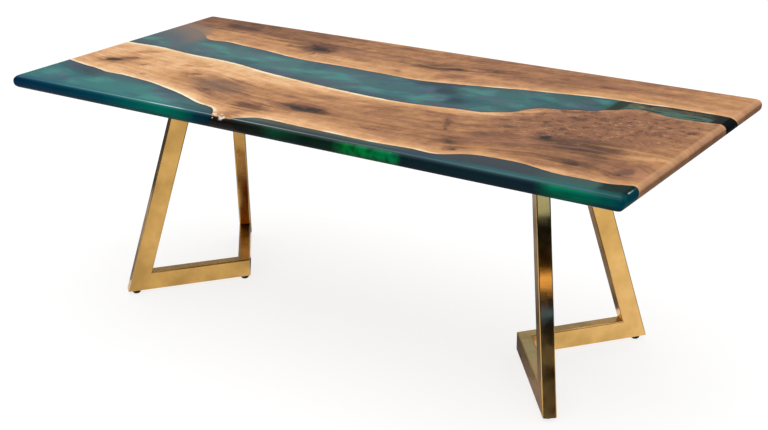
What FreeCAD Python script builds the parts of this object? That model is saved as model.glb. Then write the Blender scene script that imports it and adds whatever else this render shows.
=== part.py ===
import FreeCAD, Part
import os
import Sketcher

# Live edge river table. Two walnut slabs and three resin castings make one flat top, which two
# folded tube legs carry on levelling feet. The origin is on the floor under the middle of the
# table, +X runs along its length, -Y is its front and +Z is up.

# Driving dimensions: name, value in millimetres or degrees, meaning.
SIZES = (
    ("table_length", 2060, "top, end to end"),
    ("table_width", 950, "top, front to back"),
    ("table_height", 750, "floor to top face"),
    ("top_thickness", 40, "slabs and resin"),
    ("top_corner_radius", 8, "corners of the top, eased"),
    ("edge_round_radius", 18, "round-over along the top's rim, above and below"),
    ("apex_setback", 495, "end of the top to a leg's apex"),
    ("bar_run", 393, "apex to the outer end of a base bar, on its centre line"),
    ("splay_angle", 51.4, "base bar from the table's length, in plan"),
    ("upright_lean", 17.27, "upright from the vertical, towards the apex"),
    ("tube_height", 60, "tube, in the plane of the leg"),
    ("tube_width", 40, "tube, across the plane of the leg"),
    ("tube_wall", 2.5, "tube wall"),
    ("tube_corner_radius", 4, "tube, outside corners"),
    ("tube_bore_radius", 1.5, "tube, inside corners"),
    ("floor_clearance", 12, "floor to the underside of the base bars"),
    ("plate_length", 600, "top plate, front to back"),
    ("plate_width", 150, "top plate, along the table"),
    ("plate_thickness", 8, "top plate"),
    ("plate_corner_radius", 12, "top plate corners"),
    ("bolt_end_margin", 25, "plate bolt to the front or back of its plate"),
    ("bolt_side_margin", 30, "plate bolt to the long side of its plate"),
    ("bolt_diameter", 8, "plate bolt shank"),
    ("bolt_length", 25, "plate bolt, under its head"),
    ("bolt_head_flats", 13, "plate bolt head, across flats"),
    ("bolt_head_height", 5.3, "plate bolt head"),
    ("bolt_tip_chamfer", 1, "end of a bolt or stud"),
    ("bolt_hole_clearance", 0.5, "plate hole round a bolt, on the radius"),
    ("thread_clearance", 0.1, "nut or insert bore round its thread, on the radius"),
    ("washer_diameter", 16, "washer under a bolt head"),
    ("washer_thickness", 1.6, "washer under a bolt head"),
    ("insert_diameter", 12, "threaded insert"),
    ("insert_length", 20, "threaded insert"),
    ("insert_lead", 1.5, "chamfer on the insert's leading end"),
    ("insert_fit", 0.1, "hole round an insert or nut, on the radius"),
    ("insert_hole_spare", 2, "drilled depth past the insert"),
    ("foot_inset", 28, "outer end of a base bar to its foot"),
    ("pad_diameter", 27, "foot pad at its widest"),
    ("pad_base_diameter", 20, "foot pad's flat on the floor"),
    ("pad_height", 9, "foot pad"),
    ("pad_waist_height", 4, "floor to the widest part of a pad"),
    ("pad_top_diameter", 24, "foot pad's top face"),
    ("ball_diameter", 6.4, "ball on the end of a stud"),
    ("ball_height", 5, "floor to the middle of the ball"),
    ("socket_clearance", 0.3, "pad's socket round the ball and its neck"),
    ("neck_diameter", 4.4, "stud between its ball and its collar"),
    ("stud_diameter", 8, "levelling stud thread"),
    ("stud_length", 30, "levelling stud, above its collar"),
    ("collar_flats", 13, "stud collar, across flats"),
    ("collar_height", 1.8, "stud collar"),
    ("nut_diameter", 11, "levelling nut, in the tube wall"),
    ("nut_length", 14, "levelling nut, past its flange"),
    ("nut_flange_diameter", 15, "levelling nut flange"),
    ("nut_flange_height", 0.9, "levelling nut flange, under the tube"),
    ("cut_overrun", 5, "how far a cut runs past what it cuts"),
)

# Live edges of the slabs, left to right: place along the table's length and across its width as
# shares of both, from the middle of the table, and how far the underside stands out from the top
# edge as a share of the thickness.
FRONT_EDGE_SHARES = (
    (-0.52, -0.236, 0.9),
    (-0.485, -0.261, 0.9),
    (-0.445, -0.280, 0.8),
    (-0.41, -0.294, 0.7),
    (-0.385, -0.307, 0.6),
    (-0.365, -0.305, 0.5),
    (-0.335, -0.311, 0.5),
    (-0.295, -0.323, 0.5),
    (-0.26, -0.343, 0.5),
    (-0.225, -0.366, 0.4),
    (-0.19, -0.395, 0.4),
    (-0.155, -0.424, 0.4),
    (-0.12, -0.453, 0.5),
    (-0.111, -0.479, 0.6),
    (-0.102, -0.508, 0.7),
    (-0.092, -0.513, 0.8),
    (-0.083, -0.500, 1.0),
    (-0.0725, -0.484, 1.1),
    (-0.0585, -0.461, 1.2),
    (-0.046, -0.447, 1.3),
    (-0.03, -0.441, 1.3),
    (0.00, -0.444, 0.8),
    (0.05, -0.448, 0.5),
    (0.10, -0.452, 0.4),
    (0.16, -0.453, 0.3),
    (0.21, -0.448, 0.3),
    (0.24, -0.448, 0.3),
    (0.25, -0.438, 0.4),
    (0.262, -0.420, 0.4),
    (0.28, -0.402, 0.5),
    (0.305, -0.396, 0.5),
    (0.335, -0.394, 0.5),
    (0.36, -0.402, 0.4),
    (0.385, -0.415, 0.3),
    (0.405, -0.421, 0.3),
    (0.435, -0.420, 0.3),
    (0.465, -0.419, 0.3),
    (0.485, -0.406, 0.4),
    (0.50, -0.394, 0.4),
    (0.52, -0.380, 0.4),
)
RIVER_NEAR_SHARES = (
    (-0.52, 0.028, 0.4),
    (-0.46, 0.029, 0.4),
    (-0.42, 0.031, 0.4),
    (-0.40, 0.026, 0.4),
    (-0.375, 0.017, 0.3),
    (-0.335, 0.008, 0.3),
    (-0.295, 0.005, 0.3),
    (-0.265, -0.001, 0.3),
    (-0.235, -0.012, 0.3),
    (-0.20, -0.030, 0.3),
    (-0.165, -0.044, 0.3),
    (-0.11, -0.061, 0.3),
    (-0.05, -0.078, 0.3),
    (0.005, -0.089, 0.3),
    (0.055, -0.095, 0.3),
    (0.09, -0.093, 0.3),
    (0.12, -0.085, 0.3),
    (0.15, -0.073, 0.3),
    (0.18, -0.064, 0.3),
    (0.205, -0.054, 0.3),
    (0.222, -0.030, 0.3),
    (0.236, -0.008, 0.3),
    (0.245, 0.028, 0.3),
    (0.254, 0.056, 0.3),
    (0.275, 0.078, 0.3),
    (0.295, 0.096, 0.3),
    (0.318, 0.112, 0.3),
    (0.327, 0.121, 0.3),
    (0.336, 0.142, 0.3),
    (0.35, 0.164, 0.2),
    (0.363, 0.189, 0.2),
    (0.382, 0.203, 0.2),
    (0.40, 0.194, 0.2),
    (0.42, 0.181, 0.2),
    (0.435, 0.177, 0.2),
    (0.46, 0.181, 0.1),
    (0.485, 0.188, 0.1),
    (0.52, 0.205, 0.0),
)
RIVER_FAR_SHARES = (
    (-0.52, 0.322, 1.5),
    (-0.485, 0.304, 1.5),
    (-0.455, 0.288, 1.3),
    (-0.425, 0.261, 1.0),
    (-0.405, 0.227, 0.7),
    (-0.39, 0.202, 0.4),
    (-0.372, 0.199, 0.4),
    (-0.352, 0.206, 0.4),
    (-0.32, 0.197, 0.3),
    (-0.285, 0.187, 0.3),
    (-0.24, 0.171, 0.3),
    (-0.195, 0.153, 0.3),
    (-0.165, 0.147, 0.3),
    (-0.12, 0.148, 0.3),
    (-0.06, 0.145, 0.3),
    (0.00, 0.138, 0.3),
    (0.03, 0.135, 0.3),
    (0.06, 0.141, 0.3),
    (0.09, 0.154, 0.3),
    (0.12, 0.169, 0.3),
    (0.155, 0.187, 0.3),
    (0.195, 0.210, 0.3),
    (0.23, 0.224, 0.3),
    (0.28, 0.246, 0.3),
    (0.335, 0.260, 0.3),
    (0.375, 0.263, 0.3),
    (0.41, 0.270, 0.2),
    (0.44, 0.270, -0.1),
    (0.475, 0.269, -0.6),
    (0.50, 0.265, -1.0),
    (0.52, 0.261, -1.2),
)

# The rim's round stays under this part of the thickness, and a corner's under this part of the rim's.
RIM_THICKNESS_SHARE = 0.45
CORNER_RIM_SHARE = 0.55

# Sides of the table, and where the feet of one leg stand.
SIDES = ("left", "right")
FEET = ("front", "rear", "apex")

# Sizes that follow from the driving ones, as formulas.
RISE = ("(Sizes.table_height - Sizes.top_thickness - Sizes.plate_thickness"
        " - Sizes.floor_clearance)")
MITRE_SLOPE = "(1 / tan((90 - Sizes.upright_lean) / 2))"
APEX_REACH = "((Sizes.tube_width / 2 + Sizes.cut_overrun) / tan(Sizes.splay_angle))"
UPRIGHT_RUN = f"({RISE} / cos(Sizes.upright_lean))"
UPRIGHT_PRINT = "(Sizes.tube_height / cos(Sizes.upright_lean))"
APEX_OFFSET = "(Sizes.table_length / 2 - Sizes.apex_setback)"
PLATE_CENTRE = (f"({APEX_OFFSET} + cos(Sizes.splay_angle) * (Sizes.bar_run"
                f" - tan(Sizes.upright_lean) * {RISE} - {UPRIGHT_PRINT} / 2))")
TOP_UNDERSIDE = "(Sizes.table_height - Sizes.top_thickness)"
INSERT_HOLE_DEPTH = "(Sizes.insert_length + Sizes.insert_hole_spare)"
FOOT_RUN = "(Sizes.bar_run - Sizes.foot_inset)"
BOLT_BORE = "(Sizes.bolt_diameter / 2 + Sizes.thread_clearance)"

doc = FreeCAD.newDocument("live_edge_table")


def make_sheet():
    """Fill the sheet of driving dimensions, one row each: name, value, meaning."""
    sheet = doc.addObject("Spreadsheet::Sheet", "Sizes")
    for row, (alias, value, meaning) in enumerate(SIZES, start=1):
        sheet.set(f"A{row}", alias)
        sheet.set(f"B{row}", str(value))
        sheet.set(f"C{row}", meaning)
        sheet.setAlias(f"B{row}", alias)
    doc.recompute()
    return sheet


def value_of(formula):
    """The number that a formula on the sheet gives."""
    return float(sizes.evalExpression(formula))


def new_body(label, place=None):
    """A body named after its piece, with its place bound to the sheet."""
    body = doc.addObject("PartDesign::Body", label)
    body.Label = label
    if place:
        body.setExpression("Placement", place)
    return body


def attach(feature, body, role, height=None):
    """Put a feature on one of its body's own origin planes, or at a height above it."""
    plane = next(item for item in body.Origin.OriginFeatures if item.Role == role)
    feature.AttachmentSupport = [(plane, "")]
    feature.MapMode = "FlatFace"
    if height:
        feature.setExpression("AttachmentOffset.Base.z", height)


def new_sketch(body, name, role, height=None):
    """An empty sketch on one of the body's own origin planes, or at a height above it."""
    sketch = body.newObject("Sketcher::SketchObject", name)
    attach(sketch, body, role, height)
    return sketch


def bind_point(sketch, geometry, position, place):
    """Hold one point of a sketch at two formulas, from the sketch's origin."""
    for kind, formula in zip(("DistanceX", "DistanceY"), place):
        rule = Sketcher.Constraint(kind, -1, 1, geometry, position, value_of(formula))
        sketch.setExpression(f"Constraints[{sketch.addConstraint(rule)}]", formula)


def polygon_sketch(body, name, role, corners, height=None):
    """A closed outline of straight lines whose corners are pairs of formulas."""
    sketch = new_sketch(body, name, role, height)
    points = [FreeCAD.Vector(value_of(x), value_of(y), 0) for x, y in corners]
    count = len(points)
    for index, point in enumerate(points):
        sketch.addGeometry(Part.LineSegment(point, points[(index + 1) % count]), False)
    for index in range(count):
        sketch.addConstraint(Sketcher.Constraint("Coincident", index, 2, (index + 1) % count, 1))
    for index, corner in enumerate(corners):
        bind_point(sketch, index, 1, corner)
    return sketch


def circle_sketch(body, name, role, centres, radius, height=None):
    """Circles of one radius round pairs of formulas."""
    sketch = new_sketch(body, name, role, height)
    normal = FreeCAD.Vector(0, 0, 1)
    for index, centre in enumerate(centres):
        middle = FreeCAD.Vector(*[value_of(formula) for formula in centre], 0)
        sketch.addGeometry(Part.Circle(middle, normal, value_of(radius)), False)
        bind_point(sketch, index, 3, centre)
        rule = Sketcher.Constraint("Radius", index, value_of(radius))
        sketch.setExpression(f"Constraints[{sketch.addConstraint(rule)}]", radius)
    return sketch


def rectangle(left, right, bottom, top):
    """Corners of a rectangle between four formulas."""
    return [(left, bottom), (right, bottom), (right, top), (left, top)]


def hexagon(flats):
    """Corners of a hexagon round the origin, from its size across flats."""
    side = f"({flats} / (2 * cos(30)))"
    return [(f"{side} * cos({angle})", f"{side} * sin({angle})") for angle in range(0, 360, 60)]


def pad(body, sketch, length):
    """Extrude a sketch along its normal."""
    feature = body.newObject("PartDesign::Pad", f"{sketch.Name}_pad")
    feature.Profile = sketch
    feature.setExpression("Length", length)
    return settle(feature)


def pocket(body, sketch, depth=None):
    """Cut a sketch out on both sides of its plane, right through or to a depth."""
    before = body.Shape.Volume
    feature = body.newObject("PartDesign::Pocket", f"{sketch.Name}_cut")
    feature.Profile = sketch
    feature.SideType = "Symmetric"
    if depth:
        feature.setExpression("Length", f"2 * {depth}")
    else:
        feature.Type = "ThroughAll"
    settle(feature)
    if body.Shape.Volume >= before:
        raise RuntimeError(f"{feature.Name} cuts nothing")
    return feature


def revolve(body, sketch):
    """Turn a sketch on the XZ plane once round the body's Z axis."""
    feature = body.newObject("PartDesign::Revolution", f"{sketch.Name}_turn")
    feature.Profile = sketch
    feature.ReferenceAxis = (sketch, ["V_Axis"])
    return settle(feature)


def fillet(body, base, edges, radius):
    """Round named edges of a feature."""
    feature = body.newObject("PartDesign::Fillet", f"{base.Name}_round")
    feature.Base = (base, edges)
    feature.setExpression("Radius", radius)
    return settle(feature)


def ball(body, kind, name, radius, height):
    """Add or cut a sphere on the body's Z axis."""
    feature = body.newObject(f"PartDesign::{kind}Sphere", name)
    attach(feature, body, "XY_Plane", height)
    feature.setExpression("Radius", radius)
    return settle(feature)


def settle(feature):
    """Recompute, so that the next feature can read this one."""
    doc.recompute()
    return feature


def edges_along(feature, axis):
    """Names and middles of a feature's straight edges along an axis."""
    found = []
    for index, edge in enumerate(feature.Shape.Edges, start=1):
        straight = edge.Curve.TypeId == "Part::GeomLine"
        if straight and edge.tangentAt(edge.FirstParameter).cross(axis).Length < edge.Tolerance:
            found.append((f"Edge{index}", edge.CenterOfMass))
    return found


def tube(label, place, start, length):
    """Rectangular tube along its body's X axis, its outer face on Z = 0, ends still square."""
    body = new_body(label, place)
    half = "Sizes.tube_width / 2"
    outline = rectangle(f"-{half}", half, "0", "Sizes.tube_height")
    section = polygon_sketch(body, f"{label}_section", "YZ_Plane", outline, start)
    pad(body, section, length)

    inside = f"({half} - Sizes.tube_wall)"
    bore = rectangle(f"-{inside}", inside, "Sizes.tube_wall", "Sizes.tube_height - Sizes.tube_wall")
    hollow = pocket(body, polygon_sketch(body, f"{label}_bore", "YZ_Plane", bore))

    axis = FreeCAD.Vector(1, 0, 0)
    middle = FreeCAD.Vector(0, 0, value_of("Sizes.tube_height / 2"))
    long_edges = edges_along(hollow, axis)
    long_edges.sort(key=lambda edge: (edge[1] - middle).cross(axis).Length)
    inner = [name for name, _ in long_edges[:4]]
    rounded = fillet(body, hollow, inner, "Sizes.tube_bore_radius")

    long_edges = edges_along(rounded, axis)
    long_edges.sort(key=lambda edge: (edge[1] - middle).cross(axis).Length)
    outer = [name for name, _ in long_edges[-4:]]
    fillet(body, rounded, outer, "Sizes.tube_corner_radius")
    return body


def base_bar(label):
    """Base bar of the right leg's front half: mitred at the apex and to its upright."""
    place = (f"placement(vector({APEX_OFFSET}; 0; Sizes.floor_clearance);"
             " rotation(vector(0; 0; 1); -Sizes.splay_angle))")
    body = tube(label, place, f"-{APEX_REACH}", f"Sizes.bar_run + {APEX_REACH}")

    side = "(Sizes.tube_width / 2 + Sizes.cut_overrun)"
    past = f"-{APEX_REACH} - Sizes.cut_overrun"
    apex_cut = [(f"-{APEX_REACH}", f"-{side}"), (APEX_REACH, side), (past, side), (past, f"-{side}")]
    pocket(body, polygon_sketch(body, f"{label}_apex", "XY_Plane", apex_cut))

    above = "(Sizes.tube_height + Sizes.cut_overrun)"
    low = f"Sizes.bar_run + Sizes.cut_overrun * {MITRE_SLOPE}"
    high = f"Sizes.bar_run - {above} * {MITRE_SLOPE}"
    past = f"{low} + Sizes.cut_overrun"
    foot_cut = [(low, "-Sizes.cut_overrun"), (past, "-Sizes.cut_overrun"), (past, above), (high, above)]
    pocket(body, polygon_sketch(body, f"{label}_mitre", "XZ_Plane", foot_cut))

    centres = [("0", "0"), (FOOT_RUN, "0")]
    nut_hole = "Sizes.nut_diameter / 2 + Sizes.insert_fit"
    holes = circle_sketch(body, f"{label}_nut_holes", "XY_Plane", centres, nut_hole)
    pocket(body, holes, "(Sizes.tube_wall + Sizes.tube_bore_radius)")
    return body


def upright(label):
    """Upright of the right leg's front half: mitred to its base bar, flat under the top plate."""
    place = (f"placement(vector({APEX_OFFSET}; 0; Sizes.floor_clearance);"
             " rotation(vector(0; 0; 1); -Sizes.splay_angle))"
             " * placement(vector(Sizes.bar_run; 0; 0);"
             " rotation(vector(0; 1; 0); -90 - Sizes.upright_lean))")
    length = f"{UPRIGHT_RUN} + Sizes.tube_height * tan(Sizes.upright_lean)"
    body = tube(label, place, "0", length)

    above = "(Sizes.tube_height + Sizes.cut_overrun)"
    low = f"-Sizes.cut_overrun * {MITRE_SLOPE}"
    high = f"{above} * {MITRE_SLOPE}"
    past = f"{low} - Sizes.cut_overrun"
    foot_cut = [(low, "-Sizes.cut_overrun"), (high, above), (past, above), (past, "-Sizes.cut_overrun")]
    pocket(body, polygon_sketch(body, f"{label}_mitre", "XZ_Plane", foot_cut))

    low = f"{UPRIGHT_RUN} - Sizes.cut_overrun * tan(Sizes.upright_lean)"
    high = f"{UPRIGHT_RUN} + {above} * tan(Sizes.upright_lean)"
    past = f"{high} + Sizes.cut_overrun"
    top_cut = [(low, "-Sizes.cut_overrun"), (past, "-Sizes.cut_overrun"), (past, above), (high, above)]
    pocket(body, polygon_sketch(body, f"{label}_top", "XZ_Plane", top_cut))
    return body


def top_plate(label):
    """Flat plate of the right leg, welded on the uprights and bolted under the top."""
    place = (f"placement(vector({PLATE_CENTRE}; 0; {TOP_UNDERSIDE} - Sizes.plate_thickness);"
             " rotation(vector(0; 0; 1); 0))")
    body = new_body(label, place)
    outline = rectangle("-Sizes.plate_width / 2", "Sizes.plate_width / 2",
                        "-Sizes.plate_length / 2", "Sizes.plate_length / 2")
    blank = pad(body, polygon_sketch(body, f"{label}_outline", "XY_Plane", outline), "Sizes.plate_thickness")
    corners = [name for name, _ in edges_along(blank, FreeCAD.Vector(0, 0, 1))]
    fillet(body, blank, corners, "Sizes.plate_corner_radius")
    hole = "Sizes.bolt_diameter / 2 + Sizes.bolt_hole_clearance"
    pocket(body, circle_sketch(body, f"{label}_holes", "XY_Plane", bolt_pattern("0"), hole))
    return body


def bolt_pattern(middle):
    """Centres of one plate's bolts, round a middle on the X axis."""
    short = "(Sizes.plate_width / 2 - Sizes.bolt_side_margin)"
    long = "(Sizes.plate_length / 2 - Sizes.bolt_end_margin)"
    return [(f"{middle} {across} {short}", f"{along}{long}") for across in "-+" for along in ("-", "")]


def bolt_places():
    """Centres of all the plate bolts."""
    return bolt_pattern(PLATE_CENTRE) + bolt_pattern(f"-{PLATE_CENTRE}")


def level_edges(feature):
    """Names of a feature's straight edges along the table's length and width."""
    axes = (FreeCAD.Vector(1, 0, 0), FreeCAD.Vector(0, 1, 0))
    return [name for axis in axes for name, _ in edges_along(feature, axis)]


def top_blank():
    """The finished outline of the whole top, with the holes for the inserts."""
    body = new_body("top_blank", f"placement(vector(0; 0; {TOP_UNDERSIDE}); rotation(vector(0; 0; 1); 0))")
    outline = rectangle("-Sizes.table_length / 2", "Sizes.table_length / 2",
                        "-Sizes.table_width / 2", "Sizes.table_width / 2")
    slab = pad(body, polygon_sketch(body, "top_outline", "XY_Plane", outline), "Sizes.top_thickness")
    rim_radius = f"min(Sizes.edge_round_radius; {RIM_THICKNESS_SHARE} * Sizes.top_thickness)"
    rolled = fillet(body, slab, level_edges(slab), rim_radius)
    level = level_edges(rolled)
    names = [f"Edge{number}" for number, _ in enumerate(rolled.Shape.Edges, start=1)]
    corners = [name for name in names if name not in level]
    fillet(body, rolled, corners, f"min(Sizes.top_corner_radius; {CORNER_RIM_SHARE} * {rim_radius})")
    hole = "Sizes.insert_diameter / 2 + Sizes.insert_fit"
    pocket(body, circle_sketch(body, "insert_holes", "XY_Plane", bolt_places(), hole), INSERT_HOLE_DEPTH)
    return body


def live_edge(shares, outward, drop):
    """A live edge's curve at a depth below the top face, where the wood stands outward."""
    points = []
    for along, across, stand_share in shares:
        y = across * sizes.table_width + outward * stand_share * drop
        points.append(FreeCAD.Vector(along * sizes.table_length, y, sizes.table_height - drop))
    curve = Part.BSplineCurve()
    curve.interpolate(Points=points, Parameters=[point.x for point in points])
    return curve.toShape()


def live_face(shares, outward):
    """A live edge as a ruled face from above the top to below it."""
    above = live_edge(shares, outward, -sizes.cut_overrun)
    below = live_edge(shares, outward, sizes.top_thickness + sizes.cut_overrun)
    return Part.makeRuledSurface(above, below)


def fixed_piece(label, shape):
    """A piece whose shape is already worked out."""
    piece = doc.addObject("Part::Feature", label)
    piece.Label = label
    piece.Shape = shape
    return piece


def top_pieces():
    """The walnut slabs and the resin castings between them: the blank, split along the live edges."""
    edges = ((FRONT_EDGE_SHARES, -1), (RIVER_NEAR_SHARES, 1), (RIVER_FAR_SHARES, -1))
    faces = [live_face(shares, outward) for shares, outward in edges]
    split, _ = top_blank().Shape.generalFuse(faces)
    solids = sorted(split.Solids, key=lambda solid: solid.CenterOfMass.y)
    solids[:2] = sorted(solids[:2], key=lambda solid: solid.CenterOfMass.x)
    labels = ("front_left_resin", "front_right_resin", "front_slab", "river_resin", "rear_slab")
    if len(solids) != len(labels):
        raise RuntimeError(f"the live edges split the top into {len(solids)} pieces")
    return [fixed_piece(label, solid) for label, solid in zip(labels, solids)]


def mirrored(label, source, normal):
    """The mirror image of a piece in a plane through the origin."""
    feature = doc.addObject("Part::Mirroring", label)
    feature.Label = label
    feature.Source = source
    feature.Normal = normal
    return settle(feature)


def leg_pieces():
    """Tubes and plates of both legs: the right leg's front half, and its mirror images."""
    front_to_back = FreeCAD.Vector(0, 1, 0)
    right_to_left = FreeCAD.Vector(1, 0, 0)
    right = []
    for name, maker in (("base_bar", base_bar), ("upright", upright)):
        front = maker(f"right_front_{name}")
        right += [front, mirrored(f"right_rear_{name}", front, front_to_back)]
    right.append(top_plate("right_top_plate"))
    left = [mirrored(piece.Label.replace("right_", "left_", 1), piece, right_to_left) for piece in right]
    return right + left


def ring(body, name, profile):
    """A turned piece from a profile of radius and height formulas."""
    return revolve(body, polygon_sketch(body, name, "XZ_Plane", profile))


def bolt():
    """Hexagon bolt, its head's bearing face on Z = 0 and its shank upwards."""
    body = new_body("bolt_pattern_piece")
    head = pad(body, polygon_sketch(body, "bolt_head", "XY_Plane", hexagon("Sizes.bolt_head_flats")),
               "Sizes.bolt_head_height")
    head.Reversed = True
    radius = "Sizes.bolt_diameter / 2"
    profile = [("0", "0"), (radius, "0"), (radius, "Sizes.bolt_length - Sizes.bolt_tip_chamfer"),
               (f"{radius} - Sizes.bolt_tip_chamfer", "Sizes.bolt_length"), ("0", "Sizes.bolt_length")]
    ring(body, "bolt_shank", profile)
    return body


def washer():
    """Plain washer on Z = 0."""
    body = new_body("washer_pattern_piece")
    bore = "Sizes.bolt_diameter / 2 + Sizes.bolt_hole_clearance"
    ring(body, "washer_section", rectangle(bore, "Sizes.washer_diameter / 2", "0", "Sizes.washer_thickness"))
    return body


def insert():
    """Threaded insert, its mouth on Z = 0 and its leading end upwards."""
    body = new_body("insert_pattern_piece")
    outside = "Sizes.insert_diameter / 2"
    profile = [(BOLT_BORE, "0"), (outside, "0"), (outside, "Sizes.insert_length - Sizes.insert_lead"),
               (f"{outside} - Sizes.insert_lead", "Sizes.insert_length"), (BOLT_BORE, "Sizes.insert_length")]
    ring(body, "insert_section", profile)
    return body


def foot_nut():
    """Flanged levelling nut, its flange under Z = 0 and its barrel inside the tube."""
    body = new_body("nut_pattern_piece")
    bore = "Sizes.stud_diameter / 2 + Sizes.thread_clearance"
    flange = "Sizes.nut_flange_diameter / 2"
    barrel = "Sizes.nut_diameter / 2"
    profile = [(bore, "-Sizes.nut_flange_height"), (flange, "-Sizes.nut_flange_height"), (flange, "0"),
               (barrel, "0"), (barrel, "Sizes.nut_length"), (bore, "Sizes.nut_length")]
    ring(body, "nut_section", profile)
    return body


def group(label, source, places, level):
    """Copies of one piece at pairs of formulas, at one level, as a single node."""
    copies = []
    for x, y in places:
        copy = source.Shape.copy()
        copy.translate(FreeCAD.Vector(value_of(x), value_of(y), value_of(level)))
        copies.append(copy)
    return fixed_piece(label, Part.makeCompound(copies))


def foot_place(side, foot):
    """Centre of a foot: under the apex, or on a base bar near its outer end."""
    sign = {"left": "-", "right": ""}[side]
    if foot == "apex":
        return f"{sign}{APEX_OFFSET}", "0"
    x = f"{sign}({APEX_OFFSET} + {FOOT_RUN} * cos(Sizes.splay_angle))"
    return x, f"{'-' if foot == 'front' else ''}{FOOT_RUN} * sin(Sizes.splay_angle)"


def fixings():
    """Bolts, washers and inserts of the plates, and the nuts of the feet, each as one group."""
    plate_underside = f"{TOP_UNDERSIDE} - Sizes.plate_thickness"
    bolt_seat = f"{plate_underside} - Sizes.washer_thickness"
    feet = [foot_place(side, foot) for side in SIDES for foot in FEET]
    return [
        group("plate_bolts", bolt(), bolt_places(), bolt_seat),
        group("plate_washers", washer(), bolt_places(), bolt_seat),
        group("threaded_inserts", insert(), bolt_places(), TOP_UNDERSIDE),
        group("foot_nuts", foot_nut(), feet, "Sizes.floor_clearance"),
    ]


def foot_pad(label, place):
    """Rounded nylon pad on the floor, with a socket that snaps over the stud's ball."""
    body = new_body(label, place)
    profile = [("0", "0"), ("Sizes.pad_base_diameter / 2", "0"),
               ("Sizes.pad_diameter / 2", "Sizes.pad_waist_height"),
               ("Sizes.pad_top_diameter / 2", "Sizes.pad_height"), ("0", "Sizes.pad_height")]
    ring(body, f"{label}_section", profile)
    socket = "Sizes.ball_diameter / 2 + Sizes.socket_clearance"
    ball(body, "Subtractive", f"{label}_socket", socket, "Sizes.ball_height")
    mouth = "Sizes.neck_diameter / 2 + Sizes.socket_clearance"
    neck_hole = circle_sketch(body, f"{label}_mouth", "XY_Plane", [("0", "0")], mouth, "Sizes.pad_height")
    pocket(body, neck_hole, "(Sizes.pad_height - Sizes.ball_height)")
    return body


def foot_stud(label, place):
    """Levelling stud: a ball in the pad, a collar for a spanner and a threaded shank."""
    body = new_body(label, place)
    collar_top = "(Sizes.pad_height + Sizes.collar_height)"
    tip = f"{collar_top} + Sizes.stud_length"
    neck = "Sizes.neck_diameter / 2"
    shank = "Sizes.stud_diameter / 2"
    profile = [("0", "Sizes.ball_height"), (neck, "Sizes.ball_height"), (neck, "Sizes.pad_height"),
               (shank, "Sizes.pad_height"), (shank, f"{tip} - Sizes.bolt_tip_chamfer"),
               (f"{shank} - Sizes.bolt_tip_chamfer", tip), ("0", tip)]
    ring(body, f"{label}_section", profile)
    collar = hexagon("Sizes.collar_flats")
    pad(body, polygon_sketch(body, f"{label}_collar", "XY_Plane", collar, "Sizes.pad_height"),
        "Sizes.collar_height")
    ball(body, "Additive", f"{label}_ball", "Sizes.ball_diameter / 2", "Sizes.ball_height")
    return body


def foot_pieces():
    """A pad and a stud for each foot."""
    pieces = []
    for side in SIDES:
        for foot in FEET:
            x, y = foot_place(side, foot)
            place = f"placement(vector({x}; {y}; 0); rotation(vector(0; 0; 1); 0))"
            pieces.append(foot_pad(f"{side}_{foot}_foot_pad", place))
            pieces.append(foot_stud(f"{side}_{foot}_foot_stud", place))
    return pieces


def check_document():
    """Stop if any object failed to compute."""
    doc.recompute()
    failed = [item.Label for item in doc.Objects if {"Invalid", "Error"} & set(item.State)]
    if failed:
        raise RuntimeError(f"objects that failed: {failed}")


def write_pieces(pieces):
    """Write each piece to its own file, once all of them are sound."""
    for piece in pieces:
        if piece.Shape.isNull() or not piece.Shape.isValid() or not piece.Shape.Solids:
            raise RuntimeError(f"{piece.Label} has no sound shape")
    os.makedirs("parts", exist_ok=True)
    for piece in pieces:
        piece.Shape.exportStep(os.path.join("parts", f"{piece.Label}.step"))
        print(piece.Label, len(piece.Shape.Solids), round(piece.Shape.Volume))


sizes = make_sheet()
all_pieces = top_pieces() + leg_pieces() + fixings() + foot_pieces()
check_document()
write_pieces(all_pieces)
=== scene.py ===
import math

import bpy
import numpy as np
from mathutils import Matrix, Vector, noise


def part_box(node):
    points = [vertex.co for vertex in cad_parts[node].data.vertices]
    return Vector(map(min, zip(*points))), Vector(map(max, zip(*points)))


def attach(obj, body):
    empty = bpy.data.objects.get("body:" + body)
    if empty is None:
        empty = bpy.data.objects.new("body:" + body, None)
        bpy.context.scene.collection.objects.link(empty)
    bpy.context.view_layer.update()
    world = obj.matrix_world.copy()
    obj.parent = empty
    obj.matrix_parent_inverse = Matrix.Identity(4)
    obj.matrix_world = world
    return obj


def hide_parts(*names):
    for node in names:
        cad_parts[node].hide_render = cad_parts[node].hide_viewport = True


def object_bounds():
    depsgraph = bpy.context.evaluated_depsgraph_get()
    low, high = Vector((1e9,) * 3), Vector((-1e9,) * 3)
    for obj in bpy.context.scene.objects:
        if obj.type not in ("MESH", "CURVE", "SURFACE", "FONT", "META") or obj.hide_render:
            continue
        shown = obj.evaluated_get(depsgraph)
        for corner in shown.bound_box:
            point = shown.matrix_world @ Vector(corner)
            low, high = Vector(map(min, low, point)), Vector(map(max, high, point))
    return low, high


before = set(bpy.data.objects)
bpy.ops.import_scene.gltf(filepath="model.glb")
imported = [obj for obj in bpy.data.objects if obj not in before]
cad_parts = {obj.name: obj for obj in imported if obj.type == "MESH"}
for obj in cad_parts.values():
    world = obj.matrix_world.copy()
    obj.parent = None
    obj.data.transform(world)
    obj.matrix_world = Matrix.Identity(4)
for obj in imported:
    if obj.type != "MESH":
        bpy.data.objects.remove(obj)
cad_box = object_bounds()

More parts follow.
